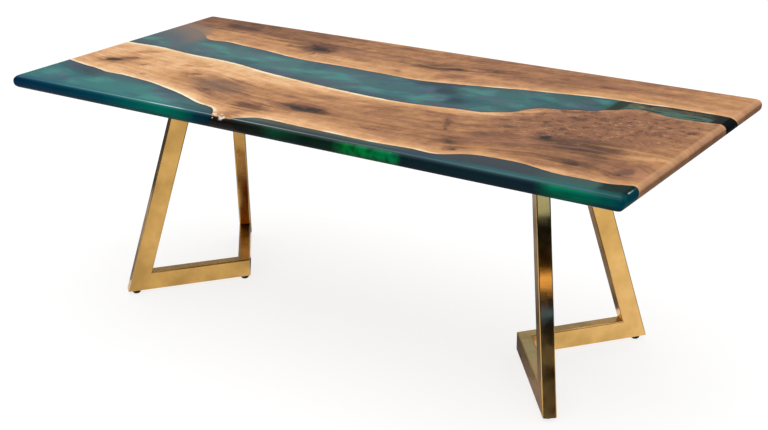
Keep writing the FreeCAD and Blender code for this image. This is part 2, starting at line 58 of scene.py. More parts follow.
# Walnut slabs
# Two boards sawn through one log, so that their live edges stay, and planed to one thickness. They are cut
# to the outline of the finished top, whose rim is rolled over by a router, drilled for inserts and oiled.
table_low, table_high = cad_box
table_length = table_high.x - table_low.x
table_width = table_high.y - table_low.y
top_face = table_high.z
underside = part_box("front_slab")[0].z
CORNER_RADIUS = 0.008
RIM_RADIUS = 0.018
ROUND_STEPS = 9
SAW_OVERRUN = 0.005
EDGE_SAMPLES = 620
EDGE_WAVES = 0.0012
TORN_WAVES = 0.0035
TORN_MIDDLE = 0.62
TORN_REACH = 0.09
INSERT_BORE = 0.0122
INSERT_DEPTH = 0.022
INSERT_SIDE_MARGIN = 0.030
INSERT_END_MARGIN = 0.025

# Live edges, left to right: share of the table's length, share of its width, and how far the edge
# leans outwards below the top face, as a share of the depth.
FRONT_EDGE = (
    (-0.52, -0.236, 0.9), (-0.485, -0.261, 0.9), (-0.445, -0.280, 0.8), (-0.41, -0.294, 0.7),
    (-0.385, -0.307, 0.6), (-0.365, -0.305, 0.5), (-0.335, -0.311, 0.5), (-0.295, -0.323, 0.5),
    (-0.26, -0.343, 0.5), (-0.225, -0.366, 0.4), (-0.19, -0.395, 0.4), (-0.155, -0.424, 0.4),
    (-0.12, -0.453, 0.5), (-0.111, -0.479, 0.6), (-0.102, -0.508, 0.7), (-0.092, -0.513, 0.8),
    (-0.083, -0.500, 1.0), (-0.0725, -0.484, 1.1), (-0.0585, -0.461, 1.2), (-0.046, -0.447, 1.3),
    (-0.03, -0.441, 1.3), (0.00, -0.444, 0.8), (0.05, -0.448, 0.5), (0.10, -0.452, 0.4),
    (0.16, -0.453, 0.3), (0.21, -0.448, 0.3), (0.24, -0.448, 0.3), (0.25, -0.438, 0.4),
    (0.262, -0.420, 0.4), (0.28, -0.402, 0.5), (0.305, -0.396, 0.5), (0.335, -0.394, 0.5),
    (0.36, -0.402, 0.4), (0.385, -0.415, 0.3), (0.405, -0.421, 0.3), (0.435, -0.420, 0.3),
    (0.465, -0.419, 0.3), (0.485, -0.406, 0.4), (0.50, -0.394, 0.4), (0.52, -0.380, 0.4),
)
RIVER_NEAR_EDGE = (
    (-0.52, 0.028, 0.4), (-0.46, 0.029, 0.4), (-0.42, 0.031, 0.4), (-0.40, 0.026, 0.4),
    (-0.375, 0.017, 0.3), (-0.335, 0.008, 0.3), (-0.295, 0.005, 0.3), (-0.265, -0.001, 0.3),
    (-0.235, -0.012, 0.3), (-0.20, -0.030, 0.3), (-0.165, -0.044, 0.3), (-0.11, -0.061, 0.3),
    (-0.05, -0.078, 0.3), (0.005, -0.089, 0.3), (0.055, -0.095, 0.3), (0.09, -0.093, 0.3),
    (0.12, -0.085, 0.3), (0.15, -0.073, 0.3), (0.18, -0.064, 0.3), (0.205, -0.054, 0.3),
    (0.222, -0.030, 0.3), (0.236, -0.008, 0.3), (0.245, 0.028, 0.3), (0.254, 0.056, 0.3),
    (0.275, 0.078, 0.3), (0.295, 0.096, 0.3), (0.318, 0.112, 0.3), (0.327, 0.121, 0.3),
    (0.336, 0.142, 0.3), (0.35, 0.164, 0.2), (0.363, 0.189, 0.2), (0.382, 0.203, 0.2),
    (0.40, 0.194, 0.2), (0.42, 0.181, 0.2), (0.435, 0.177, 0.2), (0.46, 0.181, 0.1),
    (0.485, 0.188, 0.1), (0.52, 0.205, 0.0),
)
RIVER_FAR_EDGE = (
    (-0.52, 0.322, 1.5), (-0.485, 0.304, 1.5), (-0.455, 0.288, 1.3), (-0.425, 0.261, 1.0),
    (-0.405, 0.227, 0.7), (-0.39, 0.202, 0.4), (-0.372, 0.199, 0.4), (-0.352, 0.206, 0.4),
    (-0.32, 0.197, 0.3), (-0.285, 0.187, 0.3), (-0.24, 0.171, 0.3), (-0.195, 0.153, 0.3),
    (-0.165, 0.147, 0.3), (-0.12, 0.148, 0.3), (-0.06, 0.145, 0.3), (0.00, 0.138, 0.3),
    (0.03, 0.135, 0.3), (0.06, 0.141, 0.3), (0.09, 0.154, 0.3), (0.12, 0.169, 0.3),
    (0.155, 0.187, 0.3), (0.195, 0.210, 0.3), (0.23, 0.224, 0.3), (0.28, 0.246, 0.3),
    (0.335, 0.260, 0.3), (0.375, 0.263, 0.3), (0.41, 0.270, 0.2), (0.44, 0.270, -0.1),
    (0.475, 0.269, -0.6), (0.50, 0.265, -1.0), (0.52, 0.261, -1.2),
)


def smooth_line(places, values, x):
    """The natural cubic spline through some values, at x."""
    places, values = np.array(places), np.array(values)
    step = np.diff(places)
    slope = np.diff(values) / step
    pull = np.diag(np.r_[1, 2 * (step[1:] + step[:-1]), 1])
    for row in range(1, len(places) - 1):
        pull[row, row - 1] = step[row - 1]
        pull[row, row + 1] = step[row]
    bend = np.linalg.solve(pull, np.r_[0, 6 * np.diff(slope), 0])
    span = int(np.clip(np.searchsorted(places, x) - 1, 0, len(step) - 1))
    along, left, right = x - places[span], bend[span], bend[span + 1]
    start = slope[span] - step[span] * (2 * left + right) / 6
    return (values[span] + along * start + along ** 2 * left / 2
            + along ** 3 * (right - left) / (6 * step[span]))


def live_edge(edge, outward, x, depth):
    """Where a live edge runs at x, at a depth below the top face, with the small waves of its bark side."""
    places, shares, leans = zip(*edge)
    y = smooth_line(places, shares, x / table_length) * table_width
    lean = smooth_line(places, leans, x / table_length) * depth
    torn = EDGE_WAVES
    if edge is RIVER_NEAR_EDGE:
        torn += TORN_WAVES * math.exp(-((x - TORN_MIDDLE) / TORN_REACH) ** 2)
    wave = noise.noise((x * 38, y * 5, depth * 30)) + 0.6 * noise.noise((x * 110, y * 5 + 3, depth * 60))
    return y + outward * lean + torn * wave


def select_only(piece):
    """Make one piece the selected and active one."""
    bpy.ops.object.select_all(action="DESELECT")
    piece.select_set(True)
    bpy.context.view_layer.objects.active = piece


def settle():
    """Put the place, turn and size of the selected piece into its mesh."""
    bpy.ops.object.transform_apply(location=True, rotation=True, scale=True)


def face_outwards(piece):
    """Turn all faces of a piece outwards."""
    select_only(piece)
    bpy.ops.object.mode_set(mode="EDIT")
    bpy.ops.mesh.select_all(action="SELECT")
    bpy.ops.mesh.normals_make_consistent(inside=False)
    bpy.ops.object.mode_set(mode="OBJECT")


def top_outline():
    """The whole top before it is divided: eased corners, and raised ring by ring over its rolled rim."""
    bpy.ops.object.select_all(action="DESELECT")
    bpy.ops.mesh.primitive_plane_add(size=1, location=(0, 0, underside))
    top = bpy.context.object
    bpy.ops.transform.resize(value=(table_length, table_width, 1))
    settle()
    bpy.ops.object.mode_set(mode="EDIT")
    bpy.ops.mesh.select_all(action="SELECT")
    bpy.ops.mesh.bevel(offset=CORNER_RADIUS, segments=ROUND_STEPS, affect="VERTICES")
    turns = [math.pi / 2 * step / ROUND_STEPS for step in range(ROUND_STEPS + 1)]
    rings = [(RIM_RADIUS * (1 - math.cos(turn)), RIM_RADIUS * (1 - math.sin(turn))) for turn in turns]
    rings += [(top_face - underside - rise, inset) for rise, inset in reversed(rings)]
    height, length, width = 0, table_length, table_width
    for number, (rise, inset) in enumerate(rings):
        if number:
            bpy.ops.mesh.extrude_region_move(TRANSFORM_OT_translate={"value": (0, 0, rise - height)})
        narrower = ((table_length - 2 * inset) / length, (table_width - 2 * inset) / width, 1)
        bpy.ops.transform.resize(value=narrower, center_override=(0, 0, underside + rise))
        height, length, width = rise, length * narrower[0], width * narrower[1]
    bpy.ops.object.mode_set(mode="OBJECT")
    face_outwards(top)
    return top


def sawn_slab(near, far):
    """A slab between two edges, each given by x and depth, from above the top face to below the underside."""
    reach = table_length / 2 + SAW_OVERRUN
    deep = top_face - underside + SAW_OVERRUN
    bpy.ops.object.select_all(action="DESELECT")
    bpy.ops.mesh.primitive_grid_add(x_subdivisions=EDGE_SAMPLES, y_subdivisions=1, size=2)
    slab = bpy.context.object
    for vertex in slab.data.vertices:
        x = vertex.co.x * reach
        line = near if vertex.co.y < 0 else far
        vertex.co = (x, line(x, -SAW_OVERRUN), top_face + SAW_OVERRUN)
    bpy.ops.object.mode_set(mode="EDIT")
    bpy.ops.mesh.select_all(action="SELECT")
    bpy.ops.mesh.extrude_region_move(TRANSFORM_OT_translate={"value": (0, 0, -deep - SAW_OVERRUN)})
    bpy.ops.object.mode_set(mode="OBJECT")
    for vertex in slab.data.vertices:
        if vertex.co.z < underside:
            x = vertex.co.x
            at_near = abs(vertex.co.y - near(x, -SAW_OVERRUN)) < abs(vertex.co.y - far(x, -SAW_OVERRUN))
            vertex.co.y = (near if at_near else far)(x, deep)
    face_outwards(slab)
    return slab


def own_copy(piece, name):
    """A copy of a piece with its own mesh."""
    copy = piece.copy()
    copy.data = piece.data.copy()
    copy.name = copy.data.name = name
    bpy.context.scene.collection.objects.link(copy)
    return copy


def cut(piece, tool, operation):
    """Cut a piece with another, or keep only what both fill."""
    select_only(piece)
    modifier = piece.modifiers.new("cut", "BOOLEAN")
    modifier.operation = operation
    modifier.solver = "EXACT"
    modifier.object = tool
    bpy.ops.object.modifier_apply(modifier=modifier.name)


def shade_rounds(piece):
    """Smooth the rounds and keep the flats flat."""
    select_only(piece)
    bpy.ops.object.shade_smooth_by_angle(angle=math.radians(35))
    modifier = piece.modifiers.new("flats", "WEIGHTED_NORMAL")
    modifier.keep_sharp = True
    bpy.ops.object.modifier_apply(modifier=modifier.name)


def dress(piece, finish):
    """Give a piece one finish."""
    piece.data.materials.clear()
    piece.data.materials.append(finish)


def insert_places():
    """Where the bolts go up into the top: near the corners of both leg plates."""
    places = []
    for plate in ("left_top_plate", "right_top_plate"):
        low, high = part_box(plate)
        for x in (low.x + INSERT_SIDE_MARGIN, high.x - INSERT_SIDE_MARGIN):
            places += [(x, low.y + INSERT_END_MARGIN), (x, high.y - INSERT_END_MARGIN)]
    return places


whole_top = top_outline()
for x, y in insert_places():
    bpy.ops.object.select_all(action="DESELECT")
    bpy.ops.mesh.primitive_cylinder_add(
        vertices=32, radius=INSERT_BORE / 2, depth=2 * INSERT_DEPTH, location=(x, y, underside))
    drill = bpy.context.object
    cut(whole_top, drill, "DIFFERENCE")
    bpy.data.objects.remove(drill)
front_cut = sawn_slab(lambda x, depth: live_edge(FRONT_EDGE, -1, x, depth),
                      lambda x, depth: live_edge(RIVER_NEAR_EDGE, 1, x, depth))
rear_cut = sawn_slab(lambda x, depth: live_edge(RIVER_FAR_EDGE, -1, x, depth),
                     lambda x, depth: table_high.y + SAW_OVERRUN)
front_slab = own_copy(whole_top, "front_walnut")
cut(front_slab, front_cut, "INTERSECT")
rear_slab = own_copy(whole_top, "rear_walnut")
cut(rear_slab, rear_cut, "INTERSECT")


class Field:
    """A value that changes over a surface: a node's output, with which sums are written."""

    def __init__(self, output):
        self.output = output

    def node(self, kind, settings, values, result=0):
        """Add a node, its settings first and then its sockets' values or links, and give one output."""
        tree = self.output.id_data
        added = tree.nodes.new(kind)
        for name, setting in settings.items():
            if name == "stops":
                added.color_ramp.elements.remove(added.color_ramp.elements[1])
                added.color_ramp.elements[0].position = setting[0][0]
                added.color_ramp.elements[0].color = setting[0][1]
                for share, colour in setting[1:]:
                    added.color_ramp.elements.new(share).color = colour
            elif name == "points":
                curve = added.mapping.curves[0]
                curve.points[0].location = setting[0]
                curve.points[1].location = setting[-1]
                for share, value in setting[1:-1]:
                    curve.points.new(share, value)
                added.mapping.update()
            else:
                setattr(added, name, setting)
        for name, value in values.items():
            if isinstance(value, Field):
                tree.links.new(value.output, added.inputs[name])
            else:
                added.inputs[name].default_value = value
        return Field(added.outputs[result])

    def maths(self, operation, *others):
        return self.node("ShaderNodeMath", {"operation": operation}, dict(enumerate((self, *others))))

    def __add__(self, other):
        return self.maths("ADD", other)

    def __mul__(self, other):
        return self.maths("MULTIPLY", other)

    def __sub__(self, other):
        return self.maths("SUBTRACT", other)

    def __rsub__(self, other):
        return self.node("ShaderNodeMath", {"operation": "SUBTRACT"}, {0: other, 1: self})

    def __truediv__(self, other):
        return self.maths("DIVIDE", other)

    __radd__ = __add__
    __rmul__ = __mul__

    def parts(self):
        """The three numbers of a place."""
        return [self.node("ShaderNodeSeparateXYZ", {}, {0: self}, axis) for axis in range(3)]

    def fade(self, start, end):
        """Nothing where this value is at start, all where it is at end, and smooth between them."""
        return self.node("ShaderNodeMapRange", {"interpolation_type": "SMOOTHSTEP"},
                         {"Value": self, "From Min": start, "From Max": end})

    def along(self, points):
        """A value that follows this one smoothly through some points."""
        places, values = zip(*points)
        start, reach = places[0], places[-1] - places[0]
        low, height = min(values), max(values) - min(values)
        shares = [((place - start) / reach, (value - low) / height) for place, value in points]
        curve = self.node("ShaderNodeFloatCurve", {"points": shares}, {"Value": (self - start) / reach})
        return curve * height + low

    def colours(self, stops):
        """A colour that follows this value through some stops: a value and a colour as a screen shows it."""
        start, reach = stops[0][0], stops[-1][0] - stops[0][0]
        shares = [((place - start) / reach, linear(colour)) for place, colour in stops]
        return self.node("ShaderNodeValToRGB", {"stops": shares}, {0: (self - start) / reach})

    def tint(self, colour, share):
        """This colour, with a share of another in it."""
        colour = colour if isinstance(colour, Field) else linear(colour)
        return self.node("ShaderNodeMix", {"data_type": "RGBA"}, {0: share, 6: self, 7: colour}, 2)

    def feed(self, shader, socket):
        """Set what a shader's socket takes."""
        self.output.id_data.links.new(self.output, shader.inputs[socket])


def linear(colour):
    """A colour as a screen shows it, 0 to 255, as light."""
    levels = [level / 255 for level in colour]
    return (*[level / 12.92 if level < 0.04045 else ((level + 0.055) / 1.055) ** 2.4 for level in levels], 1)


def new_finish(name, constants):
    """A new material, its shader with some constant values, and places on the piece."""
    finish = bpy.data.materials.new(name)
    finish.use_nodes = True
    shader = finish.node_tree.nodes["Principled BSDF"]
    for socket, value in constants.items():
        shader.inputs[socket].default_value = value
    return finish, shader, Field(finish.node_tree.nodes.new("ShaderNodeTexCoord").outputs["Object"])


def streaks(x, y, z, detail):
    """Noise, as long as the scales already in its three numbers make it."""
    place = x.node("ShaderNodeCombineXYZ", {}, {0: x, 1: y, 2: z})
    return place.node("ShaderNodeTexNoise", {}, {"Vector": place, "Scale": 1, "Detail": detail})


def clouds(place, scale, detail):
    """Even noise at a number of clouds per metre."""
    return place.node("ShaderNodeTexNoise", {}, {"Vector": place, "Scale": scale, "Detail": detail})


def roughened(height, shader):
    """Give a shader a surface that is a little uneven, by a height in metres."""
    bump = height.node("ShaderNodeBump", {}, {"Height": height, "Distance": 1, "Strength": 1})
    bump.feed(shader, "Normal")


EDGE_STEPS = 120
SLOPE_STEP = 0.002


def inside(x, y, depth, edge, outward):
    """How far a place is from a live edge, measured square to the edge, more than 0 on one side of it."""
    places, shares, leans = zip(*edge)
    line, lean, square = [], [], []
    for step in range(EDGE_STEPS + 1):
        share = places[0] + (places[-1] - places[0]) * step / EDGE_STEPS
        before, after = (smooth_line(places, shares, share + ahead) for ahead in (-SLOPE_STEP, SLOPE_STEP))
        slope = (after - before) / (2 * SLOPE_STEP)
        line.append((share * table_length, smooth_line(places, shares, share) * table_width))
        lean.append((share * table_length, outward * smooth_line(places, leans, share)))
        square.append((share * table_length, math.cos(math.atan(slope * table_width / table_length))))
    return (y - x.along(line) - depth * x.along(lean)) * x.along(square)


def spot_distance(place, spot):
    """How far a place is from the middle of an oval spot, where 1 is on its outline."""
    x, y, length, width, turn = spot
    turned = place.node(
        "ShaderNodeMapping", {"vector_type": "TEXTURE"},
        {"Vector": place, "Location": (x, y, 0), "Rotation": (0, 0, math.radians(turn)),
         "Scale": (length / 2, width / 2, 1000)})
    return turned.node("ShaderNodeVectorMath", {"operation": "LENGTH"}, {0: turned}, 1)


def rolled_ends(x):
    """All on the rolled rims at the table's two ends, and nothing between them."""
    return x.maths("ABSOLUTE").fade(table_length / 2 - RIM_RADIUS, table_length / 2 - RIM_RADIUS * 0.5)


def shaken_place(place):
    """A place, moved a little this way and that, so that the outline of a spot is ragged."""
    shift = place.node("ShaderNodeTexNoise", {}, {"Vector": place, "Scale": 22, "Detail": 3}, 1)
    shift = shift.node("ShaderNodeVectorMath", {"operation": "SUBTRACT"}, {0: shift, 1: (0.5, 0.5, 0.5)})
    return shift.node(
        "ShaderNodeVectorMath", {"operation": "MULTIPLY_ADD"}, {0: shift, 1: (0.05, 0.03, 0), 2: place})


GRAIN_SWAYS = ((1.4, 6, 4, 1, 0.07), (3.4, 11, 6, 2, 0.040), (8, 20, 9, 1, 0.016))


def across_grain(x, y, depth, board):
    """How far a place is across the grain, which follows the board's two guides and sways between them."""
    lower, upper = (x.along(guide) for guide in board["guides"])
    grain = (y - lower) / (upper - lower) * board["grain_width"]
    for along, across, down, detail, sway in GRAIN_SWAYS:
        grain = grain + (streaks(x * along, grain * across, depth * down, detail) - 0.5) * sway
    return grain + (grain - board["grain_width"] / 2) * depth * 5


def heartwood(x, y, depth, board):
    """How dark the brown heart is, between two lines along the board."""
    low, high, strength = (x.along(line) for line in board["heart"])
    soft = board["heart_edge"]
    wavy = (streaks(x * 3, y * 12, depth * 8, 3) - 0.5) * 0.16
    return strength * (y + wavy - low).fade(-soft, soft) * (y + wavy - high).fade(soft, -soft)


def knotted(tone, grain, shaken, board):
    """The tone darkened and the grain drawn in round the board's knots, and the share of their dark cores."""
    cores = None
    for x, y, length, width, turn, dark in board["knots"]:
        away = spot_distance(shaken, (x, y, length, width, turn))
        halo = away.fade(3.2, 0.8)
        core = away.fade(1.25, 0.5) * dark
        cores = core if cores is None else cores.maths("MAXIMUM", core)
        tone = tone - halo * (0.22 * dark)
        start, end = (np.interp(x, *zip(*guide)) for guide in board["guides"])
        middle = (y - start) / (end - start) * board["grain_width"]
        grain = grain - (grain - middle) * halo * 0.7
    return tone, grain, cores


def sapwood(x, y, depth, bands, lines, board):
    """The share of pale sapwood: a bright line, and a softer band, along each live edge."""
    sap = None
    for edge, outward, line_width, band_width, band_share, strength in board["sapwood"]:
        away = inside(x, y, depth, edge, outward) * -outward
        line = (away + lines * 0.012).fade(line_width, line_width * 0.5)
        line = line * (0.45 + streaks(x * 7, y * 7, depth * 5, 3).fade(0.36, 0.56) * 0.55)
        band = (away + bands * 0.06).fade(band_width, 0) * band_share
        pale = line.maths("MAXIMUM", band) * x.along(strength)
        sap = pale if sap is None else sap.maths("MAXIMUM", pale)
    return sap


WALNUT_TONES = (
    (0.0, (54, 36, 27)), (0.2, (106, 70, 48)), (0.4, (153, 105, 71)), (0.6, (195, 141, 95)),
    (0.8, (229, 174, 123)), (0.92, (247, 201, 149)), (1.0, (255, 246, 214)),
)
GOLDEN_WOOD = (206, 150, 86)
ROSY_WOOD = (190, 128, 104)
GREY_WOOD = (128, 104, 88)
BURL_BROWN = (148, 100, 71)
BURL_EYES = (66, 40, 28)
BURL_PALE = (206, 156, 116)
BURL_SHADE = (62, 38, 28)
KNOT_CORE = (44, 38, 40)
BARK_PALE = (238, 228, 216)
BARK_DARK = (18, 10, 6)
SUNK_WOOD = (95, 102, 105)
SUNK_BROWN = (136, 114, 99)
ROLLED_END_HIGHLIGHT = (232, 178, 136)
SAWN_END = (124, 90, 72)


def burled(colour, burl, place, shaken):
    """A colour with the figure of burl in it: small dark eyes and pale swirls."""
    eyes = clouds(shaken, 46, 5)
    specks = clouds(place, 130, 2)
    colour = colour.tint(BURL_BROWN, burl * 0.7)
    colour = colour.tint(BURL_EYES, burl * (eyes * 0.65 + specks * 0.35).fade(0.53, 0.63) * 0.65)
    colour = colour.tint(BURL_PALE, burl * (eyes * 0.6 + specks * 0.4).fade(0.45, 0.36) * 0.55)
    return colour.tint(BURL_SHADE, burl * clouds(shaken, 21, 3).fade(0.55, 0.68) * 0.6)


def walnut(name, board):
    """Walnut with its pale sapwood along live edges, its brown heart, and its knots and stains."""
    finish, shader, place = new_finish(name, {"Specular IOR Level": 0.1})
    x, y, z = place.parts()
    depth = top_face - z
    shaken = shaken_place(place)
    tone = x.along(board["pale"]) - heartwood(x, y, depth, board)
    tone, grain, cores = knotted(tone, across_grain(x, y, depth, board), shaken, board)

    bands = streaks(x * 0.9, grain * 34, depth * 4, 3) - 0.5
    lines = streaks(x * 1.8, grain * 120, depth * 9, 3) - 0.5
    fine = streaks(x * 6, grain * 460, depth * 30, 2) - 0.5
    flecks = streaks(x * 48, grain * 260, depth * 40, 2)
    pores = streaks(x * 42, grain * 1500, depth * 90, 1)
    mottle = clouds(place, 30, 4) - 0.5
    blotch = streaks(x * 9, grain * 26, depth * 12, 3) - 0.5
    for *stain, shift in board["stains"]:
        away = spot_distance(shaken, stain) + lines * 1.1 + bands * 0.8
        tone = tone + away.fade(1.35, 0.35) * shift
    sap = sapwood(x, y, depth, bands, lines, board)
    vivid = 1 - sap * 0.7
    tone = tone + (1.0 - tone) * sap
    tone = tone + (bands * 0.34 + lines * 0.32 + fine * 0.22 + mottle * 0.40 + blotch * 0.42) * vivid
    tone = tone - flecks.fade(0.58, 0.72) * 0.22 * vivid - pores.fade(0.62, 0.75) * 0.08
    tone = tone.maths("MINIMUM", 0.89 + sap * 0.11)

    colour = tone.colours(WALNUT_TONES)
    hue = streaks(x * 2.4 + 7, grain * 46, depth * 6, 3)
    colour = colour.tint(GOLDEN_WOOD, hue.fade(0.54, 0.72) * vivid * 0.45)
    colour = colour.tint(ROSY_WOOD, hue.fade(0.46, 0.28) * vivid * 0.45)
    if "burl" in board:
        away = spot_distance(shaken, board["burl"]) + bands * 1.6 + mottle * 0.8
        colour = burled(colour, away.fade(1.35, 0.5), place, shaken)
    if "grey" in board:
        away = spot_distance(shaken, board["grey"]) + lines * 1.2
        colour = colour.tint(GREY_WOOD, away.fade(1.2, 0.3) * 0.5)
    colour = colour.tint(KNOT_CORE, cores)
    if "tip" in board:
        away = spot_distance(shaken, board["tip"])
        rim = depth.fade(0.001, 0.004) * y.fade(table_low.y + RIM_RADIUS, table_low.y + RIM_RADIUS * 0.6)
        colour = colour.tint(BARK_DARK, rim)
        bits = clouds(place, 62, 2).fade(0.53, 0.60) * depth.fade(0.011, 0.005)
        colour = colour.tint(BARK_PALE, away.fade(1.0, 0.7) * bits)
    if "sunk" in board:
        edge, outward, reach = board["sunk"]
        away = inside(x, y, depth, edge, outward) * -outward
        sinking = x.along(reach) - away + bands * 0.05 + mottle * 0.05
        colour = colour.tint(SUNK_BROWN, sinking.fade(-0.06, 0.03) * 0.8)
        colour = colour.tint(SUNK_WOOD, sinking.fade(0, 0.09) * 0.95)
    rolled = rolled_ends(x)
    # A painted highlight: the upper part of the rolled ends made paler.
    colour = colour.tint(ROLLED_END_HIGHLIGHT, rolled * depth.fade(0.016, 0.010) * 0.45)
    colour = colour.tint(SAWN_END, rolled * depth.fade(0.010, 0.018) * 0.7)
    colour.feed(shader, "Base Color")
    (0.40 + lines * 0.18 + cores * 0.1).feed(shader, "Roughness")
    roughened(fine * 0.00006 - pores.fade(0.55, 0.75) * 0.00012, shader)
    return finish


# The two boards, in metres from the middle of the table. Guides are two lines that the grain follows, pale is
# how pale the wood is along the board, and heart is the near edge, far edge and strength of its brown heart.
# Sapwood is a live edge, its side, the widths of its line and its band, the band's share, and its strength
# along x. Knots, stains and the rest are ovals: x, y, length, width, turn in degrees, and for knots how dark,
# for stains how far the tone shifts. Sunk is a live edge, its side, and how far in the resin veils the board.
front_board = {
    "guides": (
        ((-1.07, -0.235), (-0.8, -0.30), (-0.45, -0.36), (-0.2, -0.42), (0.1, -0.43), (0.45, -0.43),
         (0.6, -0.40), (0.75, -0.38), (1.07, -0.39)),
        ((-1.07, 0.03), (-0.6, 0.01), (-0.3, -0.05), (0.0, -0.09), (0.25, -0.08), (0.45, -0.03),
         (0.6, 0.06), (0.75, 0.15), (0.9, 0.17), (1.07, 0.19)),
    ),
    "grain_width": 0.40,
    "pale": (
        (-1.07, 0.80), (-0.7, 0.87), (-0.3, 0.86), (0.0, 0.80), (0.2, 0.73), (0.6, 0.68), (0.85, 0.61),
        (1.07, 0.69)),
    "heart": (
        ((-1.07, -0.22), (-0.6, -0.27), (-0.4, -0.33), (-0.2, -0.40), (-0.1, -0.37), (0.0, -0.35),
         (0.4, -0.37), (0.6, -0.35), (1.07, -0.38)),
        ((-1.07, -0.10), (-0.6, -0.15), (-0.4, -0.14), (-0.2, -0.16), (0.0, -0.13), (0.4, -0.10),
         (0.5, -0.03), (0.6, 0.06), (0.7, 0.13), (0.8, 0.17), (1.07, 0.14)),
        ((-1.07, 0.07), (-0.75, 0.08), (-0.6, 0.18), (-0.45, 0.33), (-0.1, 0.28), (0.1, 0.26), (0.4, 0.26),
         (0.65, 0.28), (0.85, 0.24), (0.95, 0.14), (1.07, 0.08)),
    ),
    "heart_edge": 0.05,
    "sapwood": (
        (FRONT_EDGE, -1, 0.014, 0.045, 0.45,
         ((-1.07, 0.9), (-0.26, 1.0), (-0.235, 0.8), (-0.21, 0.0), (-0.15, 0.0), (-0.12, 0.8), (0.45, 0.9),
          (0.52, 0.6), (0.7, 0.45), (1.07, 0.4))),
        (RIVER_NEAR_EDGE, 1, 0.017, 0.055, 0.35,
         ((-1.07, 1.0), (0.10, 0.9), (0.26, 0.5), (0.40, 0.5), (0.46, 0.25), (0.50, 0.05), (0.73, 0.0),
          (0.80, 0.3), (0.95, 0.3), (1.07, 0.5))),
    ),
    "knots": (
        (-0.887, -0.167, 0.062, 0.036, 20, 0.9), (-0.850, -0.127, 0.045, 0.020, 35, 0.5),
        (-0.764, -0.164, 0.030, 0.018, 15, 0.5), (-0.691, -0.253, 0.026, 0.016, 0, 0.4),
        (-0.547, -0.169, 0.040, 0.014, 25, 0.5), (-0.400, -0.280, 0.034, 0.016, -10, 0.5),
        (-0.062, -0.286, 0.050, 0.036, 0, 0.8), (-0.008, -0.284, 0.044, 0.032, 10, 0.8),
        (0.467, -0.327, 0.022, 0.016, 0, 0.6), (0.503, -0.373, 0.022, 0.018, 0, 0.6),
        (0.674, -0.165, 0.042, 0.034, 20, 0.95), (0.956, -0.307, 0.045, 0.075, -10, 0.5),
        (0.368, -0.165, 0.012, 0.030, 20, 0.45), (0.386, -0.200, 0.012, 0.026, 20, 0.4),
        (0.404, -0.232, 0.010, 0.022, 20, 0.35),
    ),
    "stains": (
        (-0.857, -0.040, 0.140, 0.036, 42, -0.25), (-0.600, -0.093, 0.110, 0.030, 20, -0.22),
        (-0.870, -0.150, 0.200, 0.110, 15, -0.16), (-0.400, -0.225, 0.240, 0.130, -12, -0.14),
        (-0.175, -0.350, 0.130, 0.090, -15, -0.30), (-0.185, -0.440, 0.070, 0.080, 0, -0.25),
        (-0.035, -0.285, 0.230, 0.090, 0, -0.16), (0.215, -0.335, 0.060, 0.024, 0, -0.2),
        (0.560, -0.220, 0.180, 0.100, 10, -0.10), (0.766, -0.165, 0.240, 0.120, -5, -0.30),
        (0.807, -0.320, 0.050, 0.040, 0, -0.2), (0.953, -0.187, 0.150, 0.034, 8, 0.2),
        (0.480, -0.340, 0.160, 0.100, -40, -0.12),
    ),
    "burl": (0.745, 0.030, 0.62, 0.42, 24),
    "grey": (-0.400, -0.225, 0.26, 0.15, -12),
    "tip": (-0.200, -0.462, 0.075, 0.040, 0),
}
